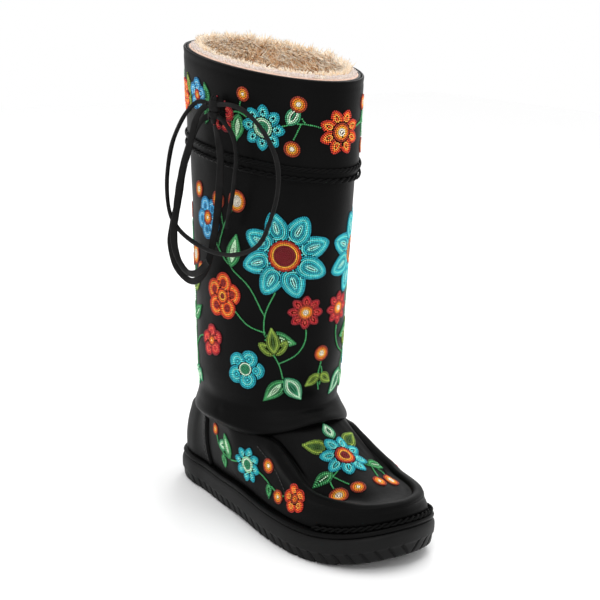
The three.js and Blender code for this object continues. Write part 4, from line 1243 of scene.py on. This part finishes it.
BESIDE_LEG = 0.012  # where the rays start, off the leg's face
RING_STEP = 0.002  # beads within this height share one ring of the leg


def leg_rays(spots):
    """Rays on to the leg for places round it from the front and up it. Past the back they lead away."""
    away, height = np.abs(spots[:, 0]) * MM, spots[:, 1] * MM
    open_angle = np.linspace(0, math.pi, 361)
    delta, reach = np.empty(len(spots)), np.empty(len(spots))
    rows = np.round(height / RING_STEP).astype(int)
    for row in np.unique(rows):
        ring = leg_at(math.pi - open_angle, row * RING_STEP, 0.0)
        run = run_along(ring)
        here = rows == row
        delta[here] = np.interp(away[here], run, open_angle)
        reach[here] = run[-1] - 0.5 * BEAD_PITCH * MM
    angle = math.pi + np.sign(spots[:, 0]) * delta
    place, out = leg_frame(angle, height, np.full(len(spots), BESIDE_LEG))
    return place + PLACE, np.where((away < reach)[:, None], -out, out)


golden = (1 + math.sqrt(5)) / 2
BEAD_POINTS = np.array([(-1, golden, 0), (1, golden, 0), (-1, -golden, 0), (1, -golden, 0), (0, -1, golden),
                        (0, 1, golden), (0, -1, -golden), (0, 1, -golden), (golden, 0, -1), (golden, 0, 1),
                        (-golden, 0, -1), (-golden, 0, 1)]) / math.sqrt(1 + golden ** 2)
BEAD_FACES = np.array([(0, 11, 5), (0, 5, 1), (0, 1, 7), (0, 7, 10), (0, 10, 11), (1, 5, 9), (5, 11, 4),
                       (11, 10, 2), (10, 7, 6), (7, 1, 8), (3, 9, 4), (3, 4, 2), (3, 2, 6), (3, 6, 8),
                       (3, 8, 9), (4, 9, 5), (2, 4, 11), (6, 2, 10), (8, 6, 7), (9, 8, 1)])

# Opaque seed beads: glossy pressed glass, each a slightly different shade
bead_glass, tree = new_material("opaque_glass_seed_beads", {"Roughness": 0.28, "IOR": 1.52,
                                                            "Specular IOR Level": 0.4})
own = add_node(tree, "ShaderNodeAttribute", settings={"attribute_name": "bead_colour"})
feed(tree, "Base Color", own.outputs["Color"])


def sew_beads(name, places, normals, colours):
    """One mesh of beads, each turned its own way and sunk a little into the leather."""
    count = len(places)
    w, x, y, z = unit(chance.normal(0, 1, (count, 4))).T
    spin = np.stack([
        np.stack([1 - 2 * (y * y + z * z), 2 * (x * y - z * w), 2 * (x * z + y * w)], -1),
        np.stack([2 * (x * y + z * w), 1 - 2 * (x * x + z * z), 2 * (y * z - x * w)], -1),
        np.stack([2 * (x * z - y * w), 2 * (y * z + x * w), 1 - 2 * (x * x + y * y)], -1),
    ], 1)
    sizes = BEAD_RADIUS * chance.uniform(0.93, 1.06, count)
    seats = places + normals * (0.55 * BEAD_RADIUS) + chance.normal(0, 0.00005, (count, 3)) - PLACE
    points = seats[:, None] + np.einsum("nij,kj->nki", spin, BEAD_POINTS) * sizes[:, None, None]
    faces = (np.arange(count)[:, None, None] * 12 + BEAD_FACES).reshape(-1, 3)
    piece = make_piece(name, points.reshape(-1, 3), faces)
    shades = np.array([linear(colour)[:3] for colour in colours])
    shades = shades * chance.normal(1, 0.07, (count, 1)).clip(0.8, 1.2)
    values = np.c_[shades, np.ones(count)].repeat(12, 0)
    give_points(piece, "bead_colour", "FLOAT_COLOR", "color", values)
    finish_piece(piece, bead_glass, "beads")


LACE_KNOT = np.array([-65.6, 36.0, 342.0])
KNOT_COVER = (6.2, 12.6)  # half width and half height of the bare place under the lace's knot
KNOT_SIDE = 20  # beads further than this across the leg are kept
for name, skin, shapes in (("shaft_beadwork", leg_skin, shaft_shapes),
                           ("cuff_beadwork", cuff_skin, cuff_shapes)):
    tree = skin_tree(skin)
    spots, colours = lay_out(shapes)
    for half, turned_over, limit in (("outer", 1, 0.5), ("inner", -1, -0.5)):
        near = spots[:, 0] < limit * BEAD_PITCH
        rays = leg_rays(spots[near] * np.array([turned_over, 1]))
        places, normals, tints = settle(tree, *rays, colours[near])
        from_knot = (places - PLACE) / MM - LACE_KNOT
        clear = np.hypot(*(from_knot[:, 1:] / KNOT_COVER).T) > 1
        clear |= np.abs(from_knot[:, 0]) > KNOT_SIDE
        sew_beads(f"{name}_{half}", places[clear], normals[clear], tints[clear])

foot_tree = skin_tree(foot_skin)
BESIDE_FOOT = 0.12  # where the rays start, off the boot's middle


def side_rays(spots, side):
    """Rays on to a side of the foot part, for places along it and up it in mm."""
    starts = np.c_[np.full(len(spots), side * BESIDE_FOOT), spots * MM]
    return starts, np.tile([-side, 0.0, 0.0], (len(spots), 1))


spots, colours = lay_out(side_shapes)
foot_beads = [settle(foot_tree, *side_rays(spots, side), colours) for side in (-1, 1)]
spots, colours = lay_out(vamp_shapes)
VAMP_MIDDLE = np.array([0.002, -0.092, 0.110])
VAMP_SLOPE = math.radians(24)
vamp_up = np.array([0, math.cos(VAMP_SLOPE), math.sin(VAMP_SLOPE)])
vamp_down = np.array([0, math.sin(VAMP_SLOPE), -math.cos(VAMP_SLOPE)])
starts = VAMP_MIDDLE + spots[:, :1] * MM * np.array([1.0, 0, 0]) + spots[:, 1:] * MM * vamp_up
foot_beads.append(settle(foot_tree, starts, np.tile(vamp_down, (len(spots), 1)), colours))
sew_beads("foot_beadwork", *(np.concatenate(kind) for kind in zip(*foot_beads)))


# Side seams of the foot part: the row of black waxed stitches that runs down each side wall to the welt,
# sewn through the leather.
SIDE_SEAM = [(-9, 73), (-22, 65.4), (-35, 57.6), (-46, 48.6), (-53, 41)]
parts = []
for side in (-1, 1):
    places, normals, _ = settle(foot_tree, *side_rays(even_line(SIDE_SEAM, 1.0), side))
    parts += stitch_row(places - PLACE, normals * MM, STITCH_PITCH, STITCH_LENGTH, STITCH_RADIUS)
side_thread = join_parts("side_seam_stitching", parts)
finish_piece(side_thread, thread, "braid")


# Thong: one black suede lace, tied in a bow on the outer side of the cuff. Its knot sits on two short stems
# through holes in the cuff, and holds a round loop, a flat loop and two cut ends. All of it hangs.
LACE_DIAMETER = 0.0036
RIBBON_WIDTH = 0.006
RIBBON_THICKNESS = 0.0018
RING_ROUTE = [
    (-0.4, 6.4, 4.6), (-3, 18, 5), (-5.4, 30, -4), (-6.4, 43, -20), (-6.4, 52, -36), (-6.4, 58, -66),
    (-6.4, 53, -90), (-6.4, 40, -101), (-6.4, 18, -108), (-4.4, -11, -112), (-3.4, -44, -107),
    (-1.4, -67, -95), (-0.4, -78, -76), (1.6, -84, -53), (2.6, -81, -31), (2.6, -64, -11), (1.6, -39, 3),
    (0.1, -22, 6), (-0.2, -6.4, 4.8),
]
LOOP_ROUTE = [
    (-0.4, 6.4, -5.1), (-2, 14, -9.5), (-2.4, 30, -29), (-2.4, 41, -55), (-2.4, 47, -80), (-2.4, 54, -99),
    (-2.4, 57, -116), (-2.4, 50, -133), (-1.4, 39, -141.5), (-0.4, 29, -144), (0.1, 19, -140.5),
    (0.6, 10, -131), (1.1, 4, -118), (1.6, -4, -87), (1.6, -7.5, -57), (1.6, -7.5, -34), (0.8, -5, -22),
    (0.1, -1, -11.8),
]
FRONT_END_ROUTE = [
    (0, -6.4, -5), (0.6, -11, -6.4), (1.4, -17, -11.5), (2, -24, -18), (2.1, -29, -34), (2.1, -27.5, -46.5),
    (2.6, -24, -64), (3, -19, -80), (3.6, -15, -92),
]
BACK_END_ROUTE = [
    (-3.4, 4.6, 3.4), (-6.4, 8.6, -0.5), (-8.8, 13, -10), (-9.4, 20, -30), (-9.4, 31, -54), (-9.4, 38, -84),
    (-9.4, 42, -102), (-9.4, 40, -117), (-9.4, 32, -128), (-9.4, 19, -134), (-9.4, 4, -130), (-9.4, -9, -119),
]


# Black suede: a dull nap about 0.3 mm deep, with faint rubbed patches
suede, tree = new_material("black_suede", {"Roughness": 0.62, "Specular IOR Level": 0.12,
                                           "Sheen Weight": 0.02, "Sheen Roughness": 0.5})
colour_steps(tree, noise_over(tree, 130, 4), [(0.35, "050505"), (0.75, "111010")])
relief(tree, noise_over(tree, 1900, 4), 0.5, 0.0003)

# Knot: two strands side by side, wrapped by flat turns of the lace, on two stems in the cuff's holes
STRAND_REACH = 11.2  # in mm, as the sizes of the wraps
WRAP_DEPTH = 3.3
WRAP_WIDTH = 4.7
STEM_PLACE = 2.3
knot_parts = []
for shift, bow in ((-1.7, -0.5), (1.7, 0.4)):
    rise = np.linspace(-STRAND_REACH, STRAND_REACH, 24)
    bulge = np.cos(rise / STRAND_REACH * math.pi / 2)
    line = np.c_[0.3 - 0.8 * bulge, shift * (0.55 + 0.45 * bulge) + bow * np.sin(rise / 5), rise]
    taper = 0.30 + 0.70 * bulge ** 0.5
    knot_parts.append(tube((LACE_KNOT + line) * MM, (0.0026 * taper, 0.0022 * taper), 12))
for start, turns_made, foot, head in ((0.4, 1.55, -6.4, -1.2), (3.6, 1.6, 0.4, 6.2)):
    share = np.linspace(0, 1, 64)
    angle = start + 2 * math.pi * turns_made * share
    line = np.c_[0.1 - WRAP_DEPTH * np.cos(angle), WRAP_WIDTH * np.sin(angle), foot + (head - foot) * share]
    out = np.c_[-np.cos(angle), np.sin(angle), np.zeros(64)]
    up = np.tile([0.0, 0.0, 1.0], (64, 1))
    ends = np.clip(np.minimum(share, 1 - share) * 14, 0.25, 1)
    knot_parts.append(tube((LACE_KNOT + line) * MM, (0.0010 * ends, 0.0023 * ends), 12, out=out, up=up))
for side in (-STEM_PLACE, STEM_PLACE):
    line = np.c_[np.linspace(-0.5, 8.4, 14), np.full(14, side), np.zeros(14)]
    knot_parts.append(tube((LACE_KNOT + line) * MM, (0.0013, 0.0013), 12))
knot = join_parts("lace_knot", knot_parts)
finish_piece(knot, suede, "thong", "tie_knot")

FACED_FORWARD = 0.72
LACE_TWIST = 0.25
lace_rows = [  # name, route, steps, half width, half thickness, far end, node
    ("lace_round_loop", RING_ROUTE, 260, LACE_DIAMETER / 2, LACE_DIAMETER / 2, "knot", "bow_loop_ring"),
    ("lace_flat_loop", LOOP_ROUTE, 240, RIBBON_WIDTH / 2, RIBBON_THICKNESS / 2, "knot", "bow_loop_back"),
    ("lace_front_end", FRONT_END_ROUTE, 90, LACE_DIAMETER / 2, LACE_DIAMETER / 2, "bare", "tie_end_front"),
    ("lace_back_end", BACK_END_ROUTE, 150, RIBBON_WIDTH / 2, RIBBON_THICKNESS / 2, "bare", "tie_end_back"),
]
for name, points, steps, half_width, half_thickness, far_end, node in lace_rows:
    route = open_curve(LACE_KNOT + np.array(points), steps) * MM
    along = unit(np.gradient(route, axis=0))
    run = np.linspace(0, 1, steps + 1)
    turned_out = FACED_FORWARD * smooth_step(0.0, 0.12, run) * smooth_step(0.0, 0.05, 1 - run)
    face = np.c_[-np.cos(turned_out), -np.sin(turned_out), np.zeros(steps + 1)]
    flat = unit(np.cross(face, along))
    thick = np.cross(along, flat)
    uneven = 1 + 0.05 * np.sin(run * 31 + len(name)) + 0.03 * np.sin(run * 83)
    twist = LACE_TWIST * np.sin(run * 9 + len(name)) * (half_width > half_thickness)
    turned = flat * np.cos(twist)[:, None] + thick * np.sin(twist)[:, None]
    radii = (half_width * uneven, half_thickness * uneven)
    lace = make_piece(name, *tube(route, radii, 14, out=turned, up=np.cross(along, turned)))
    finish_piece(lace, suede, "thong", node)
    path = route + PLACE
    length = float(run_along(path)[-1])


# Floor and light: a plain white floor of studio paper under large soft lights, in a white room. None of it
# belongs to the boot.
floor_mesh = bpy.data.meshes.new("floor")
floor_mesh.from_pydata([(-3, -3, 0), (3, -3, 0), (3, 3, 0), (-3, 3, 0)], [], [(0, 1, 2, 3)])
floor = add_object("floor", floor_mesh)
paper, _ = new_material("white_studio_paper", {"Base Color": linear("fcfcfc"), "Roughness": 0.9})
floor_mesh.materials.append(paper)
world = bpy.data.worlds.new("studio")
bpy.context.scene.world = world
world.use_nodes = True
sky = world.node_tree.nodes["Background"]
sky.inputs["Color"].default_value = (1, 1, 1, 1)
sky.inputs["Strength"].default_value = 1.0
LIT_POINT = Vector((0, 0, 0.2))
LIGHTS = [  # name, place, size in metres, power in watts
    ("overhead_light", (0.3, -0.5, 2.0), 1.0, 9),
    ("key_light", (-1.2, -1.0, 1.5), 0.5, 9),
    ("back_light", (1.1, 1.0, 1.3), 0.6, 8),
]
bpy.context.scene.view_settings.view_transform = "Standard"
for name, place, size, power in LIGHTS:
    light_data = bpy.data.lights.new(name, "AREA")
    light_data.size = size
    light_data.energy = power
    light = add_object(name, light_data)
    light.location = place
    light.rotation_euler = (LIT_POINT - Vector(place)).to_track_quat("-Z", "Y").to_euler()
